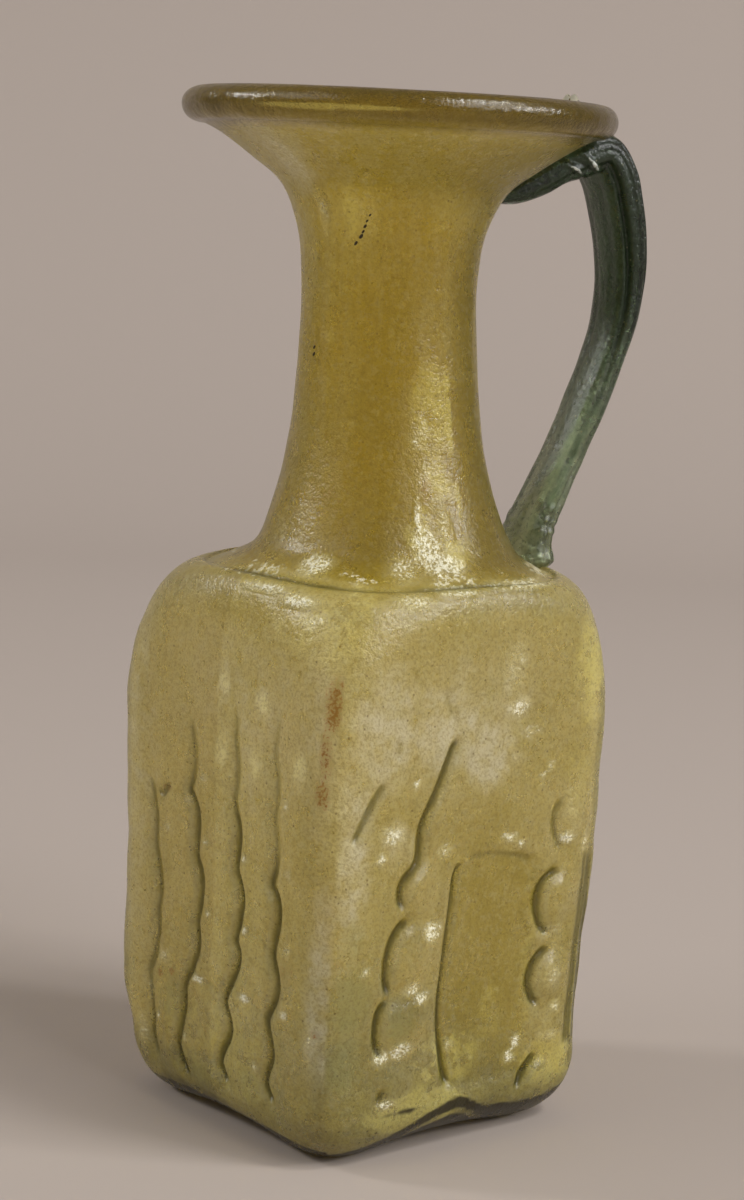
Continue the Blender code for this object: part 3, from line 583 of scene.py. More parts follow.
def in_panel(s, z):
    """The sunk panel: 1 inside, 0 outside, a fade of the distance from its nearest edge. Its top drops by
    the fourth power of s towards its sides."""
    left, right = PANEL_SIDES
    top = PANEL_TOP - 2.0 * ((2 * s - left - right) / (right - left)) ** 4
    inside = np.minimum(np.minimum(s - left, 0.6 * (right - s)), np.minimum(top - z, 0.6 * (z - PANEL_FOOT)))
    return fade(0.5 + inside / 1.8)


def panel_relief(s, z):
    """A sunk, arched panel between two columns of beads, each the 0.7th power of a hump over an oval, with
    grooves: results as in columns_relief."""
    height, offset, strength = np.zeros((3, *s.shape))
    height -= PANEL_DEPTH * in_panel(s, z)
    for s0, z0, half_s, half_z, rise in [*BEADS, HOLLOW]:
        height += rise * oval(s, z, s0, z0, half_s, half_z) ** 0.7
    for depth, line in PANEL_LINES:
        engrave(height, offset, strength, s, z, depth, line)
    return height, offset, strength


def spots(s, z, rows):
    """Greatest of some soft ovals (middle s and z, half width, half height, amount) at the points, each the
    amount times the 0.6th power of the oval's hump."""
    film = np.zeros_like(s)
    for s0, z0, half_s, half_z, amount in rows:
        film = np.maximum(film, amount * oval(s, z, s0, z0, half_s, half_z) ** 0.6)
    return film


def press_faces(points, films, x, y, z):
    """Presses the relief into the four faces and lays the films of each face on it.

    A face is seen from outside as s to the right and z up, and reaches to where its distance from the axis
    is no longer greater than |s|. The two faces out of view get a plainer, lower copy.
    """
    ends = fade((z - RELIEF_FOOT) / RELIEF_FADE) * fade((RELIEF_CEILING - z) / RELIEF_FADE)
    faces = ((panel_relief, RIGHT), (columns_relief, LEFT), (columns_relief, LEFT), (panel_relief, RIGHT))
    for quarter, (design, side) in enumerate(faces):
        shown = quarter > 1
        share, paleness = (1.0, 1.0) if shown else (HIDDEN_SHARE, HIDDEN_FILMS)
        out = (round(math.cos(quarter * math.pi / 2)), round(math.sin(quarter * math.pi / 2)))
        s = y * out[0] - x * out[1]
        on_face = (x * out[0] + y * out[1] > np.abs(s)) & (z < BODY_HEIGHT + 1)
        rows = np.nonzero(on_face.any(axis=1))[0]
        cut = np.ix_(np.arange(rows[0], rows[-1] + 1), np.nonzero(on_face.any(axis=0))[0])
        fs, fz, there = s[cut], z[cut], on_face[cut]
        if not shown:
            fs, fz = fs + HIDDEN_SHIFT[0], fz + HIDDEN_SHIFT[1]
        height, offset, strength = design(fs, fz)
        height *= share * ends[cut] * fade((FACE_EDGE - np.abs(s[cut])) / FACE_EDGE_FADE) * there
        points[..., 0][cut] += height * out[0]
        points[..., 1][cut] += height * out[1]
        films["groove_offset"][cut] = np.where(there, offset, films["groove_offset"][cut])
        films["groove"][cut] = np.where(there, strength * ends[cut] * share, films["groove"][cut])
        for name, ovals in FACE_FILMS.items():
            if shown or name != "stain":
                films[name][cut] += there * spots(fs, fz, ovals[side]) * paleness
        # Painted shade along the base, with a lighter streak on the right face
        under = curve_at(fs, BASE_BANDS[side]) - fz
        band = BAND_AMOUNT * fade(under / BAND_EDGE)
        if side == RIGHT:
            middle, half, down, half_down, off = BAND_GAP
            band *= 1 - off * hump((fs - middle) / half) * hump((under - down) / half_down)
            films["deep"][cut] = np.maximum(films["deep"][cut], PANEL_DEEP * there * in_panel(fs, fz))
        films["dark"][cut] += there * band


def lay_films(films, points, z, turn):
    """Lays the films that run round the jug, on the corner in view, the foot, the neck and the rim: each is
    a hump of the azimuth, fades of the height, or both multiplied."""
    body = fade((BODY_HEIGHT + 3 - z) / 3)
    front = turn_from(turn, SEEN_CORNER)
    films["haze"] += CORNER_HAZE[0] * hump(front / CORNER_HAZE[1]) * body * fade((z - 8) / 14)
    # Painted highlight down the corner in view, and painted glow over the lower body
    films["light"] += CORNER_LIGHT[0] * hump(front / CORNER_LIGHT[1]) * body * fade((z - 30) / 30)
    films["light"] += FOOT_LIGHT[0] * fade((FOOT_LIGHT[1] - z) / FOOT_LIGHT[2])
    films["tone"] = fade((z - BODY_HEIGHT + 1.5) / 3.5)
    neck = z > BODY_HEIGHT - 1
    for name, rows in NECK_FILMS.items():
        for turn0, z0, half_turn, half_z, amount in rows:
            spot = amount * oval(turn_from(turn, turn0), z, 0, z0, half_turn, half_z) ** 0.6
            films[name] = np.where(neck, np.maximum(films[name], spot), films[name])
    # The neck's painted light ends sharply at NECK_EDGE
    past_edge = fade((turn - NECK_EDGE) / 2) * fade((z - 106) / 6) * fade((turn - 20) / -4)
    films["light"] *= 1 - neck * past_edge
    films["crust"] = hump((z - BODY_HEIGHT - 1.4) / 2.4) * fade(waves(points, 14, 5) + 0.6)
    films["rim"] = fade((z - HEIGHT + RIM_FILM) / 1.6)
    for azimuth, half, amount, top, reach in NECK_DEEPS:
        deep = amount * hump((turn - azimuth) / half) * films["tone"] * fade((top - z) / reach)
        films["deep"] = np.maximum(films["deep"], deep)
    # Painted shade on the funnel under the rim, deepest on its right
    azimuth, half, foot, reach = FUNNEL_DEEP
    funnel = fade((z - foot) / reach) * (0.25 + 0.75 * hump((turn - azimuth) / half))
    foot_deep = FOOT_DEEP[0] * fade((FOOT_DEEP[1] - z) / FOOT_DEEP[2])
    films["deep"] = np.maximum(np.maximum(films["deep"], funnel), foot_deep)
    # A weathered pallor over the body, strongest on the left face, where it is painted light
    films["pale"] = body * (0.45 + 0.55 * hump((turn - PALE_SIDE[0]) / PALE_SIDE[1]))


def darken_crease(films, points, turn):
    """Lays a dark line along the crease under the neck, painted shade with some dirt, as a hump of the way
    along the skin from it; it is strongest towards CREASE_SIDE. The crease is where the line up the skin last
    drops."""
    level = points[:, 0, 2]
    crease = np.nonzero((np.diff(level) < 0) & (np.abs(level[:-1] - BODY_HEIGHT) < 3))[0][-1] + 1
    along = np.linalg.norm(np.diff(points, axis=0, prepend=points[:1]), axis=2).cumsum(axis=0)
    from_crease = (along - along[crease]) * CREASE_FILM
    near = np.abs(from_crease) < LINE_REACH
    seen = 0.3 + 0.7 * fade((CREASE_SEEN - np.abs(turn_from(turn, CREASE_SIDE))) / 20)
    films["groove_offset"][near] = from_crease[near]
    films["groove"][near] = (seen * hump(from_crease / LINE_REACH) * fade(waves(points, 20, 6) + 0.8))[near]


def roughen(films, points, x, y, z, turn):
    """Moves the skin away from the axis by the sum of the gentle waves, and lifts the rim by a longer wave
    and by two small peaks, which are humps of azimuth and radius."""
    r = np.hypot(x, y)
    normal = np.stack([x, y], axis=2) / np.maximum(r, 1)[..., None]
    uneven = sum(depth * waves(points, pitch, seed) for depth, pitch, seed in SKIN_WAVES)
    uneven *= fade((z - 2) / 8)
    dent = FAR_CORNER_DENT * hump((z - 11) / 10) * hump(turn_from(turn, 135) / 26)
    points[..., :2] += (uneven - dent)[..., None] * normal
    depth, pitch, seed = RIM_WAVE
    points[..., 2] += depth * waves(points, pitch, seed) * fade((z - 150) / 20)
    away = np.abs(turn_from(turn, NUB_AZIMUTH))
    peaks = np.maximum(hump((away - 2.0) / 2.2), 0.45 * hump(away / NUB_TURN))
    nub = NUB_HEIGHT * peaks * hump((r - NUB_RADIUS) / 2.4) * fade((z - HEIGHT + 3) / 2)
    points[..., 2] += nub
    films["crust"] = np.maximum(films["crust"], 3 * fade(nub))


def dress_outside(points, turns):
    """Adds the relief and the unevenness to the outside, and returns its films by name, each rows x turns."""
    x, y = np.moveaxis(points[..., :2] - middle_at(points[..., 2]), 2, 0)
    z = points[..., 2].copy()
    films = {name: np.zeros_like(z) for name in (*FACE_FILMS, "groove_offset", "groove")}
    turn = turn_from(np.degrees(np.broadcast_to(turns, z.shape)), 0)
    press_faces(points, films, x, y, z)
    lay_films(films, points, z, turn)
    darken_crease(films, points, turn)
    roughen(films, points, x, y, z, turn)
    return films


def lofted(rings, first, last):
    """Points and faces of a closed skin: quads from each ring to the next, and a fan to a point at either
    end."""
    rows, count = rings.shape[:2]
    points = np.vstack([[first], rings.reshape(-1, 3), [last]])
    k = np.arange(count)
    after = (k + 1) % count
    a = 1 + np.arange(rows - 1)[:, None] * count
    quads = np.stack([a + k, a + after, a + count + after, a + count + k], axis=2).reshape(-1, 4)
    end = 1 + (rows - 1) * count
    fans = [np.stack([np.zeros_like(k), 1 + after, 1 + k], axis=1)]
    fans.append(np.stack([end + k, end + after, np.full_like(k, len(points) - 1)], axis=1))
    return points, [*quads.tolist(), *np.vstack(fans).tolist()]


def placed(name, data):
    """A new object in the scene."""
    thing = bpy.data.objects.new(name, data)
    bpy.context.scene.collection.objects.link(thing)
    return thing


def make_piece(name, points, faces, films, material, node):
    """A smooth named mesh from points in millimetres, which stands for a node and carries the films."""
    mesh = bpy.data.meshes.new(name)
    mesh.from_pydata((points * MM).tolist(), [], faces)
    for film, values in films.items():
        layer = mesh.attributes.new(film, "FLOAT", "POINT")
        padded = np.zeros(len(points), np.float32)
        padded[1 : 1 + values.size] = values.ravel()
        layer.data.foreach_set("value", padded)
    mesh.materials.append(material)
    mesh.shade_smooth()
    piece = placed(name, mesh)
    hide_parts(node)
    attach(piece, "root")
    return piece


def make_vessel():
    """The vessel's outside upwards, over the rim and its inside downwards."""
    turns = azimuths()
    outer = outer_stations()
    outside = ring_grid(outer, turns)
    films = dress_outside(outside, turns)
    inside = ring_grid(inner_stations(outer), turns)
    floor = KICK + FLOOR_WALL
    points, faces = lofted(np.concatenate([outside, inside]), (0, 0, 0), (*middle_at(np.array(floor)), floor))
    make_piece("vessel_glass", points, faces, films, olive_glass(), "vessel")
    make_bubbles(outside, turns)


def make_bubbles(outside, turns):
    """Small open bubbles full of dirt: flat ovals r (cos a cos b, sin a cos b, sin b) that lie in the skin.

    They slant from upright by as much as BUBBLE_LEAN says, along the skin.
    """
    a = np.linspace(0, 2 * math.pi, BUBBLE_SIDES, endpoint=False)
    b = np.radians([-60, -30, 0, 30, 60])[:, None]
    ball = np.stack(np.broadcast_arrays(np.cos(a) * np.cos(b), np.sin(a) * np.cos(b), np.sin(b)), axis=2)
    points, faces = [], []
    for azimuth, z, half in BUBBLES:
        line = outside[:, np.abs(turn_from(np.degrees(turns), azimuth)).argmin()]
        rising = np.nonzero(line[:, 2] < HEIGHT - 2 * RIM_TUBE)[0]
        place = np.array([np.interp(z, line[rising, 2], line[rising, axis]) for axis in range(3)])
        turn = math.radians(azimuth)
        out = np.array([math.cos(turn), math.sin(turn), 0])
        along = np.array([-BUBBLE_LEAN[0] * out[1], BUBBLE_LEAN[0] * out[0], BUBBLE_LEAN[1]])
        rings = place + (ball * half * np.array(BUBBLE_SIZE)) @ np.array([out, np.cross(out, along), along])
        skin, sides = lofted(rings, place - half * along, place + half * along)
        start = sum(len(p) for p in points)
        points.append(skin)
        faces += [[start + corner for corner in face] for face in sides]
    make_piece("bubble_dirt", np.vstack(points), faces, {}, dark_dirt(), "vessel")


def strap_knots():
    """Knots of the strap from its tail on the neck to its foot: radius, height, width, thickness. The tail
    follows the funnel's outline, and the rest are shares of the reach and of the neck's height."""
    funnel = np.array(neck_outline()[len(FLARE) :] + [(RIM_RADIUS - RIM_TUBE, HEIGHT - 2 * RIM_TUBE)])
    rows = []
    for share, wide, thick in TAIL:
        r = NECK_RADIUS + share * (RIM_RADIUS - NECK_RADIUS)
        under = np.interp(r, funnel[:, 0], funnel[:, 1])
        rows.append((r, under - thick * STRAP_THICK / 2 - TAIL_DROP, wide, thick))
    rows += [(RIM_RADIUS + out, HEIGHT - down, wide, thick) for out, down, wide, thick in TURN_OVER]
    foot = SHOULDER_HALF - FACE_INSET + FOOT_OUT
    for share, reach, wide, thick in STRAP:
        rows.append((foot + reach * (HANDLE_REACH - foot), BODY_HEIGHT + share * NECK_LENGTH, wide, thick))
    rows.append((foot, BODY_HEIGHT + 1.2, 1.34, 1.42))
    rows.append((foot, BODY_HEIGHT - 0.2, 1.1, 1.1))
    return np.array(rows) * (1, 1, STRAP_WIDTH, STRAP_THICK)


def handle_grid():
    """Rings of the strap along its path, grooved lengthwise, and its films.

    A ring is |out|^2.5 + |side|^2.5 = 1 scaled to the thickness and the width there, less the grooves.
    """
    path = smooth_path(strap_knots(), SPAN_STEPS)
    count = len(path)
    ahead = np.gradient(path[:, :2], axis=0)
    ahead /= np.linalg.norm(ahead, axis=1, keepdims=True)
    turn = math.radians(HANDLE_TURN)
    radial = np.array([math.cos(turn), math.sin(turn), 0.0])
    across = np.array([math.sin(turn), -math.cos(turn), 0.0])
    upright = np.array([0.0, 0.0, 1.0])
    axis = HANDLE_SWAY * np.array([*SWAY_WAY, 0.0])
    angles = np.linspace(0, 2 * math.pi, STRAP_SIDES, endpoint=False)
    plump = (np.abs(np.cos(angles)) ** 2.5 + np.abs(np.sin(angles)) ** 2.5) ** (-1 / 2.5)
    share = np.linspace(0, 1, count)[:, None]
    drift = 5 * np.sin(7 * share) + 3 * np.sin(17 * share + 1)
    degrees = np.degrees(angles)
    cut = np.zeros((count, STRAP_SIDES))
    for at, depth, half in STRAP_GROOVES:
        lasting = 1 - 0.8 * (depth > 0.5) * fade((share - 0.45) / 0.2)
        cut += depth * lasting * hump(turn_from(degrees, at + drift) / half)
    cut *= fade((1 - share) / 0.04) * (0.3 + 0.7 * fade((share - 0.2) / 0.14))
    cut *= 1 - 0.2 * fade((share - 0.55) / 0.3)
    size = 1 - cut / (0.5 * (path[:, 2:3] + path[:, 3:]) / 2)
    out = plump * size * path[:, 3:] / 2 * np.cos(angles)
    side = plump * size * path[:, 2:3] / 2 * np.sin(angles)
    outward = ahead[:, :1] * upright - ahead[:, 1:2] * radial
    middle = (axis + path[:, :1] * radial + path[:, 1:2] * upright)[:, None]
    points = middle + out[..., None] * outward[:, None] + side[..., None] * across
    swell = sum(depth * waves(points, pitch, seed) for depth, pitch, seed in STRAP_WAVES)
    # Painted highlights on the raised folds
    glint = np.zeros(cut.shape)
    for at, slope, rise, half in FOLDS:
        off = (share - at - slope * (degrees / FOLD_AZIMUTH - 1)) / half
        swell += rise * hump(off) * hump((degrees - FOLD_AZIMUTH) / 70)
        if rise > 0:
            glint = np.maximum(glint, hump(off / 0.7) * hump((degrees - FOLD_AZIMUTH - 5) / 32))
    z = points[..., 2]
    wrinkle = WRINKLE_DEPTH * np.sin(2 * math.pi * z / WRINKLE_PITCH + 4 * waves(points, 5, 13))
    wrinkle *= hump((z - WRINKLE_HEIGHT) / 8) * fade(waves(points, 5, 14) * 2 + 0.5)
    spoke = points - middle
    spoke /= np.maximum(np.linalg.norm(spoke, axis=2, keepdims=True), 1e-6)
    points = points + (swell + wrinkle)[..., None] * spoke
    films = {"groove": np.clip(cut / 0.5, 0, 1), "along": np.broadcast_to(share, cut.shape)}
    films["out_mm"] = np.broadcast_to(STRAP_THICK / 2 * np.cos(angles), cut.shape)
    films["side_mm"] = np.broadcast_to(STRAP_WIDTH / 2 * np.sin(angles), cut.shape)
    # Painted light: the strap's inner side lighter, for light seen through the thin glass there
    films["inner"] = np.broadcast_to(hump(turn_from(degrees, 165) / 55), cut.shape)
    films["foot"] = hump((points[..., 2] - 100) / 8)
    films["glint"] = glint
    return points, films


def keep_on_vessel(points):
    """Moves the points that lie deeper than SINK_IN in the neck or the funnel out to that depth, square to
    the outline of the vessel's outside under the handle, taken as round."""
    outline = ring_grid(outer_stations(), np.array([math.radians(HANDLE_TURN)]))[:, 0]
    outline = outline[outline[:, 2] > BODY_HEIGHT + 2]
    r = np.hypot(*(outline[:, :2] - middle_at(outline[:, 2])).T)
    line = np.stack([r, outline[:, 2]], axis=1)
    flat = points[..., :2] - middle_at(points[..., 2])
    radius = np.hypot(flat[..., 0], flat[..., 1])
    inward, _, nearest = beside(np.stack([radius, points[..., 2]], axis=-1), line)
    run = np.diff(line, axis=0)
    normal = (np.stack([run[:, 1], -run[:, 0]], axis=1) / np.hypot(*run.T)[:, None])[nearest]
    push = np.where(points[..., 2] > BODY_HEIGHT + 6, np.clip(inward - SINK_IN, 0, 6), 0)
    moved = points.copy()
    moved[..., :2] += (push * normal[..., 0] / np.maximum(radius, 1))[..., None] * flat
    moved[..., 2] += push * normal[..., 1]
    return moved


def make_handle():
    """The strap handle, from its tail under the funnel to its foot on the shoulder."""
    rings, films = handle_grid()
    rings = keep_on_vessel(rings)
    points, faces = lofted(rings, rings[0].mean(axis=0), rings[-1].mean(axis=0))
    make_piece("handle_glass", points, faces, films, blue_green_glass(), "handle")


class Nodes:
    """Short ways to add and link shader nodes of one material."""

    def __init__(self, name):
        self.material = bpy.data.materials.new(name)
        self.material.use_nodes = True
        self.tree = self.material.node_tree
        self.shader = self.tree.nodes["Principled BSDF"]
        self.place = self.add("ShaderNodeTexCoord", "Object")

    def add(self, kind, output, inputs=None, **settings):
        """The output of a new node with these inputs, by name or number, and settings."""
        node = self.tree.nodes.new(kind)
        for key, value in settings.items():
            setattr(node, key, value)
        for key, value in (inputs or {}).items():
            self.put(node.inputs[key], value)
        return node.outputs[output]

    def put(self, socket, value):
        """Links an output to the socket, or sets a plain value on it."""
        if isinstance(value, bpy.types.NodeSocket):
            self.tree.links.new(value, socket)
        elif hasattr(socket.default_value, "__len__") and len(value) == 3 and len(socket.default_value) == 4:
            socket.default_value = (*value, 1)
        else:
            socket.default_value = value

    def film(self, name):
        """The value that the mesh carries under that name."""
        return self.add("ShaderNodeAttribute", "Fac", attribute_name=name)

    def stretched(self, x, y, z):
        """The place in the object, scaled along each axis."""
        return self.add("ShaderNodeMapping", "Vector", {"Vector": self.place, "Scale": (x, y, z)})

    def combined(self, x, y, z):
        """A vector from three values."""
        return self.add("ShaderNodeCombineXYZ", "Vector", {0: x, 1: y, 2: z})

    def noise(self, size, detail, roughness, place=None):
        """Noise from 0 to 1 whose blotches are about size mm across."""
        inputs = {"Vector": place or self.place, "Scale": 1000 / size}
        inputs |= {"Detail": detail, "Roughness": roughness}
        return self.add("ShaderNodeTexNoise", "Fac", inputs)

    def cells(self, size):
        """Distance from the nearest of scattered points about size mm apart, from 0 to about 1."""
        return self.add("ShaderNodeTexVoronoi", "Distance", {"Vector": self.place, "Scale": 1000 / size})

    def math(self, operation, a, b=0.0, c=0.0):
        """An operation on one, two or three values."""
        return self.add("ShaderNodeMath", 0, {0: a, 1: b, 2: c}, operation=operation)

    def times(self, a, b):
        """a times b."""
        return self.math("MULTIPLY", a, b)

    def times_plus(self, a, b, c):
        """a times b, plus c."""
        return self.math("MULTIPLY_ADD", a, b, c)

    def span(self, value, low, high, to_low=0.0, to_high=1.0, smooth=True):
        """Maps low..high to to_low..to_high, and clamps."""
        inputs = {0: value, 1: low, 2: high, 3: to_low, 4: to_high}
        kind = "SMOOTHSTEP" if smooth else "LINEAR"
        return self.add("ShaderNodeMapRange", "Result", inputs, interpolation_type=kind)

    def mix(self, share, a, b):
        """Colour a with a share of colour b over it."""
        return self.add("ShaderNodeMix", 2, {"Factor": share, 6: a, 7: b}, data_type="RGBA")

    def coat(self, share, colour):
        """Lays a share of a colour over the colour so far."""
        self.colour = self.mix(share, self.colour, colour)

    def bump(self, height, distance):
        """A bump in mm."""
        return self.add("ShaderNodeBump", "Normal", {"Distance": distance * MM, "Height": height})

    def finish(self, **sockets):
        """Links values to the shader's sockets, or sets plain ones on them, and returns the material."""
        for name, value in sockets.items():
            self.put(self.shader.inputs[name.replace("_", " ")], value)
        return self.material


def ragged(nodes, film, noise, reach, low, high):
    """A film with a ragged edge: the film times 1 + reach (noise - 1/2), cut off between low and high."""
    broken = nodes.times(nodes.film(film), nodes.times_plus(noise, reach, 1 - reach / 2))
    return nodes.span(broken, low, high)


def olive_glass():
    """Weathered yellow-olive glass: see-through, with haze, stains and dirt in its pits, and with painted
    light:
    glints, glow, shade along its base, and dark grooves that are partly dirt and partly painted shade.
    """
    nodes = Nodes("olive_glass")
    film, times, times_plus, span, coat = nodes.film, nodes.times, nodes.times_plus, nodes.span, nodes.coat
    large = nodes.noise(16, 2, 0.6)
    middling = nodes.noise(4, 3, 0.65)
    small = nodes.noise(1.2, 2, 0.75)
    fine = nodes.noise(0.5, 2, 0.7)
    streaks = nodes.noise(3, 3, 0.6, nodes.stretched(1, 1, 0.12))
    specks = nodes.cells(2.2)
    sparkle = times_plus(fine, 0.7, times(small, 0.3))
    grain = times_plus(streaks, 0.3, times(fine, 0.7))

    # The body is paler than the neck
    nodes.colour = nodes.mix(film("tone"), (0.98, 0.87, 0.39), (0.73, 0.575, 0.05))
    coat(span(large, 0.35, 0.65, 0, 0.5), (0.78, 0.68, 0.18))
    coat(span(streaks, 0.42, 0.62, 0, 0.35), (0.97, 0.90, 0.42))
    coat(times(film("deep"), span(middling, 0.3, 0.6, 0.7, 1)), (0.60, 0.48, 0.04))
    coat(span(small, 0.50, 0.66, 0, 0.40), (1.0, 0.95, 0.56))
    coat(span(small, 0.34, 0.48, 0.34, 0), (0.56, 0.42, 0.06))
    coat(times(film("rim"), 0.95), (0.17, 0.11, 0.002))

    # Weathering, with painted light and shade laid in, from the deepest layer to the topmost
    green = ragged(nodes, "green", middling, 2, 0.2, 0.9)
    haze = ragged(nodes, "haze", middling, 2, 0.2, 0.9)
    # Mostly painted light: glow through the glass and highlights; on the raised ovals, their paler tone
    light = ragged(nodes, "light", middling, 3, 0.25, 1.0)
    crust = ragged(nodes, "crust", small, 5, 0.75, 1.1)
    stain = ragged(nodes, "stain", grain, 6, 0.3, 1.2)
    # Painted shade along the base and edges
    dark = ragged(nodes, "dark", middling, 2.5, 0.2, 0.8)
    # Painted highlights: glints
    glint = times(ragged(nodes, "glint", sparkle, 6, 0.6, 1.3), 0.7)
    glint = times_plus(nodes.math("MINIMUM", film("glint"), 1), 0.3, glint)
    coat(times(green, 0.5), (0.58, 0.62, 0.26))
    coat(times(haze, 0.8), (0.97, 0.93, 0.72))
    coat(times(light, 0.55), (1.0, 0.89, 0.25))
    coat(span(fine, 0.36, 0.56, 0.42, 0), (0.36, 0.27, 0.05))
    coat(times(crust, 0.7), (0.84, 0.80, 0.66))
    coat(span(specks, 0.05, 0.12, 0.75, 0), (0.24, 0.15, 0.04))
    coat(times(stain, 0.92), (0.42, 0.16, 0.01))
    coat(times(dark, 0.96), (0.03, 0.024, 0.008))
    coat(glint, (1.0, 0.97, 0.74))

    # Grooves: a dark line of uneven width, partly dirt and partly painted shade, with a painted shaded side
    # and a painted lit ridge beside it
    offset, depth = film("groove_offset"), span(film("groove"), 0.1, 0.9)
    wide = times_plus(middling, 1.4, 0.15)
    away = nodes.math("DIVIDE", nodes.math("ABSOLUTE", offset), wide)
    core = times(nodes.math("SUBTRACT", 1, span(away, 0.1, 1.0)), depth)
    shade = times(span(offset, -1.7, -0.3), span(offset, 0.2, 1.3, 1, 0))
    ridge = times(span(offset, 0.9, 1.5), span(offset, 1.5, 2.5, 1, 0))
    coat(times(times(shade, depth), 0.6), (0.36, 0.33, 0.05))
    coat(times(times(ridge, depth), 0.65), (1.0, 0.96, 0.60))
    coat(times(core, 0.88), (0.09, 0.08, 0.012))

    solid = times_plus(light, 0.2, times(haze, 0.2))
    solid = times_plus(glint, 0.7, times_plus(crust, 0.5, solid))
    # The pale film makes the body less see-through: a weathered pallor, and painted light on the left face
    solid = times_plus(film("pale"), 0.29, solid)
    rough = times_plus(haze, 0.1, times_plus(middling, 0.1, 0.23))
    rough = times_plus(film("rim"), -0.12, times_plus(crust, 0.2, rough))
    height = times_plus(small, 0.16, times(fine, 0.08))
    height = times_plus(times(film("glint"), small), 0.6, height)
    height = times_plus(core, -0.4, height)
    return nodes.finish(
        Base_Color=nodes.colour,
        Transmission_Weight=span(solid, 0, 1, 0.94, 0.05, smooth=False),
        Roughness=rough,
        Normal=nodes.bump(height, 1.0),
        IOR=1.5,
        Specular_IOR_Level=0.28,
    )


def dark_dirt():
    """Brown-black dirt in the open bubbles of the neck."""
    nodes = Nodes("dark_dirt")
    grain = nodes.noise(0.3, 2, 0.6)
    colour = nodes.mix(grain, (0.015, 0.01, 0.005), (0.07, 0.05, 0.02))
    return nodes.finish(Base_Color=colour, Normal=nodes.bump(grain, 0.05), Roughness=0.8)


def blue_green_glass():
    """Dark blue-green glass of the handle: streaked lengthwise, dark in its grooves, paler at its foot, with
    painted highlights on its folds and painted light on its inner side.
    """
    nodes = Nodes("blue_green_glass")
    film, times, span, mix, coat = nodes.film, nodes.times, nodes.span, nodes.mix, nodes.coat
    middling = nodes.noise(4, 3, 0.6)
    fine = nodes.noise(0.8, 3, 0.6)
    specks = nodes.cells(2.2)
    scales = (("out_mm", MM), ("side_mm", MM), ("along", 9 * MM))
    streaks = nodes.noise(1.6, 3, 0.6, nodes.combined(*(times(film(name), scale) for name, scale in scales)))
    low = span(film("along"), 0.45, 0.95)
    # Painted light: the strap's inner side lighter, for light seen through the thin glass there
    inner = times(film("inner"), span(middling, 0.2, 0.8, 0.5, 1))
    # Painted highlights on the folds of the turn-over
    glint = ragged(nodes, "glint", fine, 3, 0.3, 0.7)

    # Each layer's colour on the upper part, and on the lower part
    nodes.colour = mix(low, (0.012, 0.026, 0.012), (0.35, 0.41, 0.22))
    coat(span(streaks, 0.48, 0.6, 0, 0.65), mix(low, (0.06, 0.10, 0.05), (0.86, 0.86, 0.62)))
    coat(span(streaks, 0.38, 0.5, 0.75, 0), mix(low, (0.004, 0.008, 0.004), (0.045, 0.065, 0.028)))
    coat(span(middling, 0.35, 0.65, 0, 0.5), mix(low, (0.05, 0.09, 0.04), (0.14, 0.21, 0.07)))
    coat(span(fine, 0.52, 0.66, 0, 0.4), mix(low, (0.14, 0.22, 0.12), (0.74, 0.80, 0.50)))
    coat(times(inner, 0.6), mix(low, (0.08, 0.16, 0.07), (0.60, 0.64, 0.44)))
    coat(times(film("foot"), 0.3), (0.40, 0.46, 0.27))
    coat(times(film("groove"), 0.8), mix(low, (0.012, 0.02, 0.01), (0.06, 0.085, 0.03)))
    coat(span(fine, 0.34, 0.48, 0.65, 0), (0.02, 0.04, 0.015))
    coat(span(specks, 0.04, 0.1, 0.8, 0), (0.55, 0.50, 0.20))
    coat(glint, (0.86, 0.90, 0.84))
    return nodes.finish(
        Base_Color=nodes.colour,
        Transmission_Weight=span(glint, 0, 1, 0.88, 0.3, smooth=False),
        Roughness=nodes.times_plus(middling, 0.12, 0.22),
        Normal=nodes.bump(nodes.times_plus(fine, 0.2, times(middling, 0.3)), 1.0),
        IOR=1.5,
        Specular_IOR_Level=0.28,
    )


def add_camera():
    """The photograph's viewpoint, turned about the jug and tipped down."""
    data = bpy.data.cameras.new("camera")
    data.lens, data.sensor_fit, data.sensor_height = LENS, "VERTICAL", SENSOR
    turn = Matrix.Rotation(-math.radians(CAMERA_TURN), 4, "Z")
    place = turn @ Matrix.Translation(Vector((CAMERA_ASIDE, -CAMERA_BACK, CAMERA_HEIGHT)) * MM)
    tip = Matrix.Rotation(math.pi / 2 - math.radians(CAMERA_DOWN), 4, "X")
    roll = Matrix.Rotation(math.radians(CAMERA_ROLL), 4, "Z")
    camera = placed("camera", data)
    camera.matrix_world = place @ tip @ roll
    bpy.context.scene.camera = camera


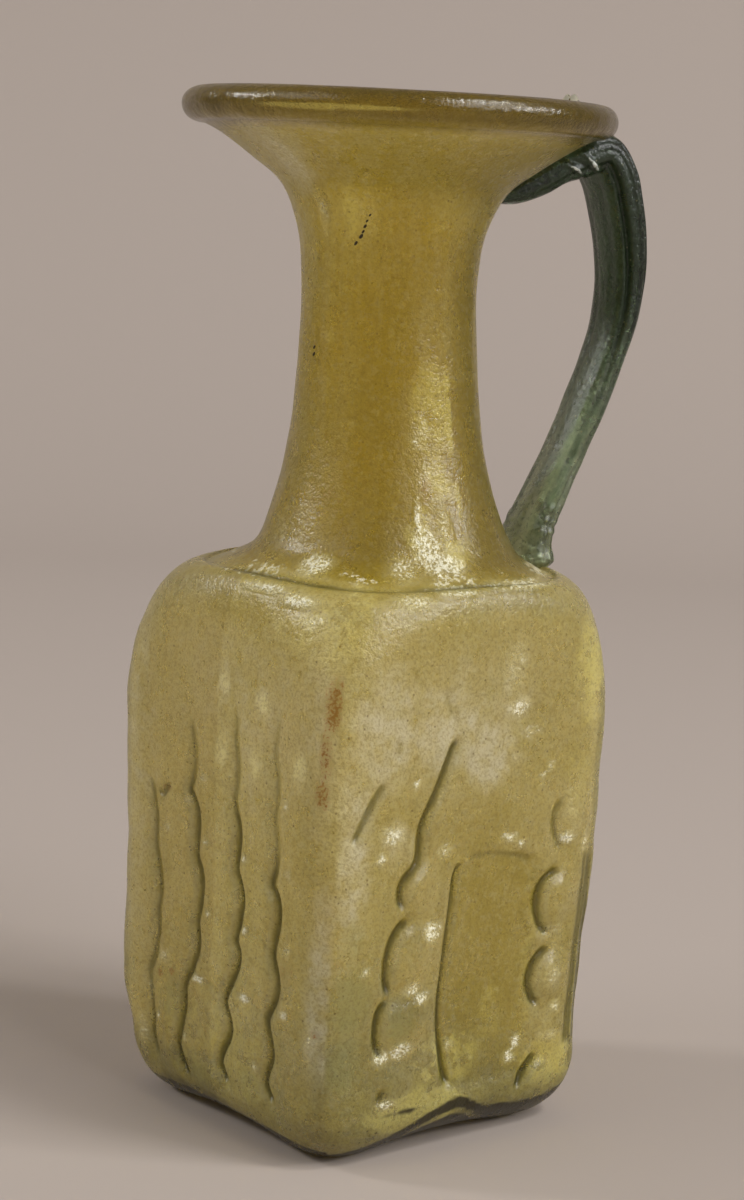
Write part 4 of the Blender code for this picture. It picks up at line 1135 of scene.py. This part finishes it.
def add_floor():
    """A pale sheet: flat under the jug, then a quarter circle behind it, then upright."""
    turns = np.radians(np.linspace(0, 90, 17))
    back, bend, far, side = 700.0, 400.0, 1600.0, 4000.0
    ys = np.concatenate([[-far, 0.0], back + bend * np.sin(turns), [back + bend]])
    zs = np.concatenate([[0.0, 0.0], bend * (1 - np.cos(turns)), [far]])
    xs = np.array([-side, side])
    grid = np.stack(np.broadcast_arrays(xs[:, None], ys, zs), axis=2).reshape(-1, 3)
    n = len(ys)
    faces = [(k, n + k, n + k + 1, k + 1) for k in range(n - 1)]
    mesh = bpy.data.meshes.new("floor")
    mesh.from_pydata((grid * MM).tolist(), [], faces)
    mesh.shade_smooth()
    mesh.materials.append(Nodes("pale_paper").finish(Base_Color=(0.42, 0.36, 0.32), Roughness=0.9))
    floor = placed("floor", mesh)
    floor.rotation_euler.z = -math.radians(CAMERA_TURN)


def add_light(name, azimuth, elevation, distance, size, power):
    """A square soft light that faces the shoulder. azimuth is in degrees to the right of the camera's own."""
    data = bpy.data.lights.new(name, "AREA")
    data.shape, data.size, data.energy = "SQUARE", size * MM, power
    turn = math.radians(azimuth - 90 - CAMERA_TURN)
    rise = math.radians(elevation)
    target = Vector((0, 0, LIGHT_TARGET))
    way = Vector((math.cos(turn) * math.cos(rise), math.sin(turn) * math.cos(rise), math.sin(rise)))
    light = placed(name, data)
    facing = way.to_track_quat("Z", "Y")
    light.matrix_world = Matrix.LocRotScale((target + way * distance) * MM, facing, None)


def add_world():
    """An even pale surround that fills the shadows."""
    world = bpy.data.worlds.new("surround")
    world.use_nodes = True
    shader = world.node_tree.nodes["Background"]
    shader.inputs["Color"].default_value = (1.0, 0.95, 0.9, 1)
    shader.inputs["Strength"].default_value = 0.25
    bpy.context.scene.world = world


def build():
    """Sets up the studio and makes the pieces."""
    add_camera()
    add_floor()
    add_light("key", 56, 38, 2200, 1600, 27)
    add_light("fill", -66, 40, 2200, 1000, 6)
    add_light("spark_right", 78, 24, 1800, 260, 8)
    add_light("spark_high", 62, 56, 1800, 260, 7)
    add_light("spark_left", -96, 30, 1800, 260, 9)
    add_world()
    bpy.context.scene.view_settings.view_transform = "Standard"
    make_vessel()
    make_handle()


build()
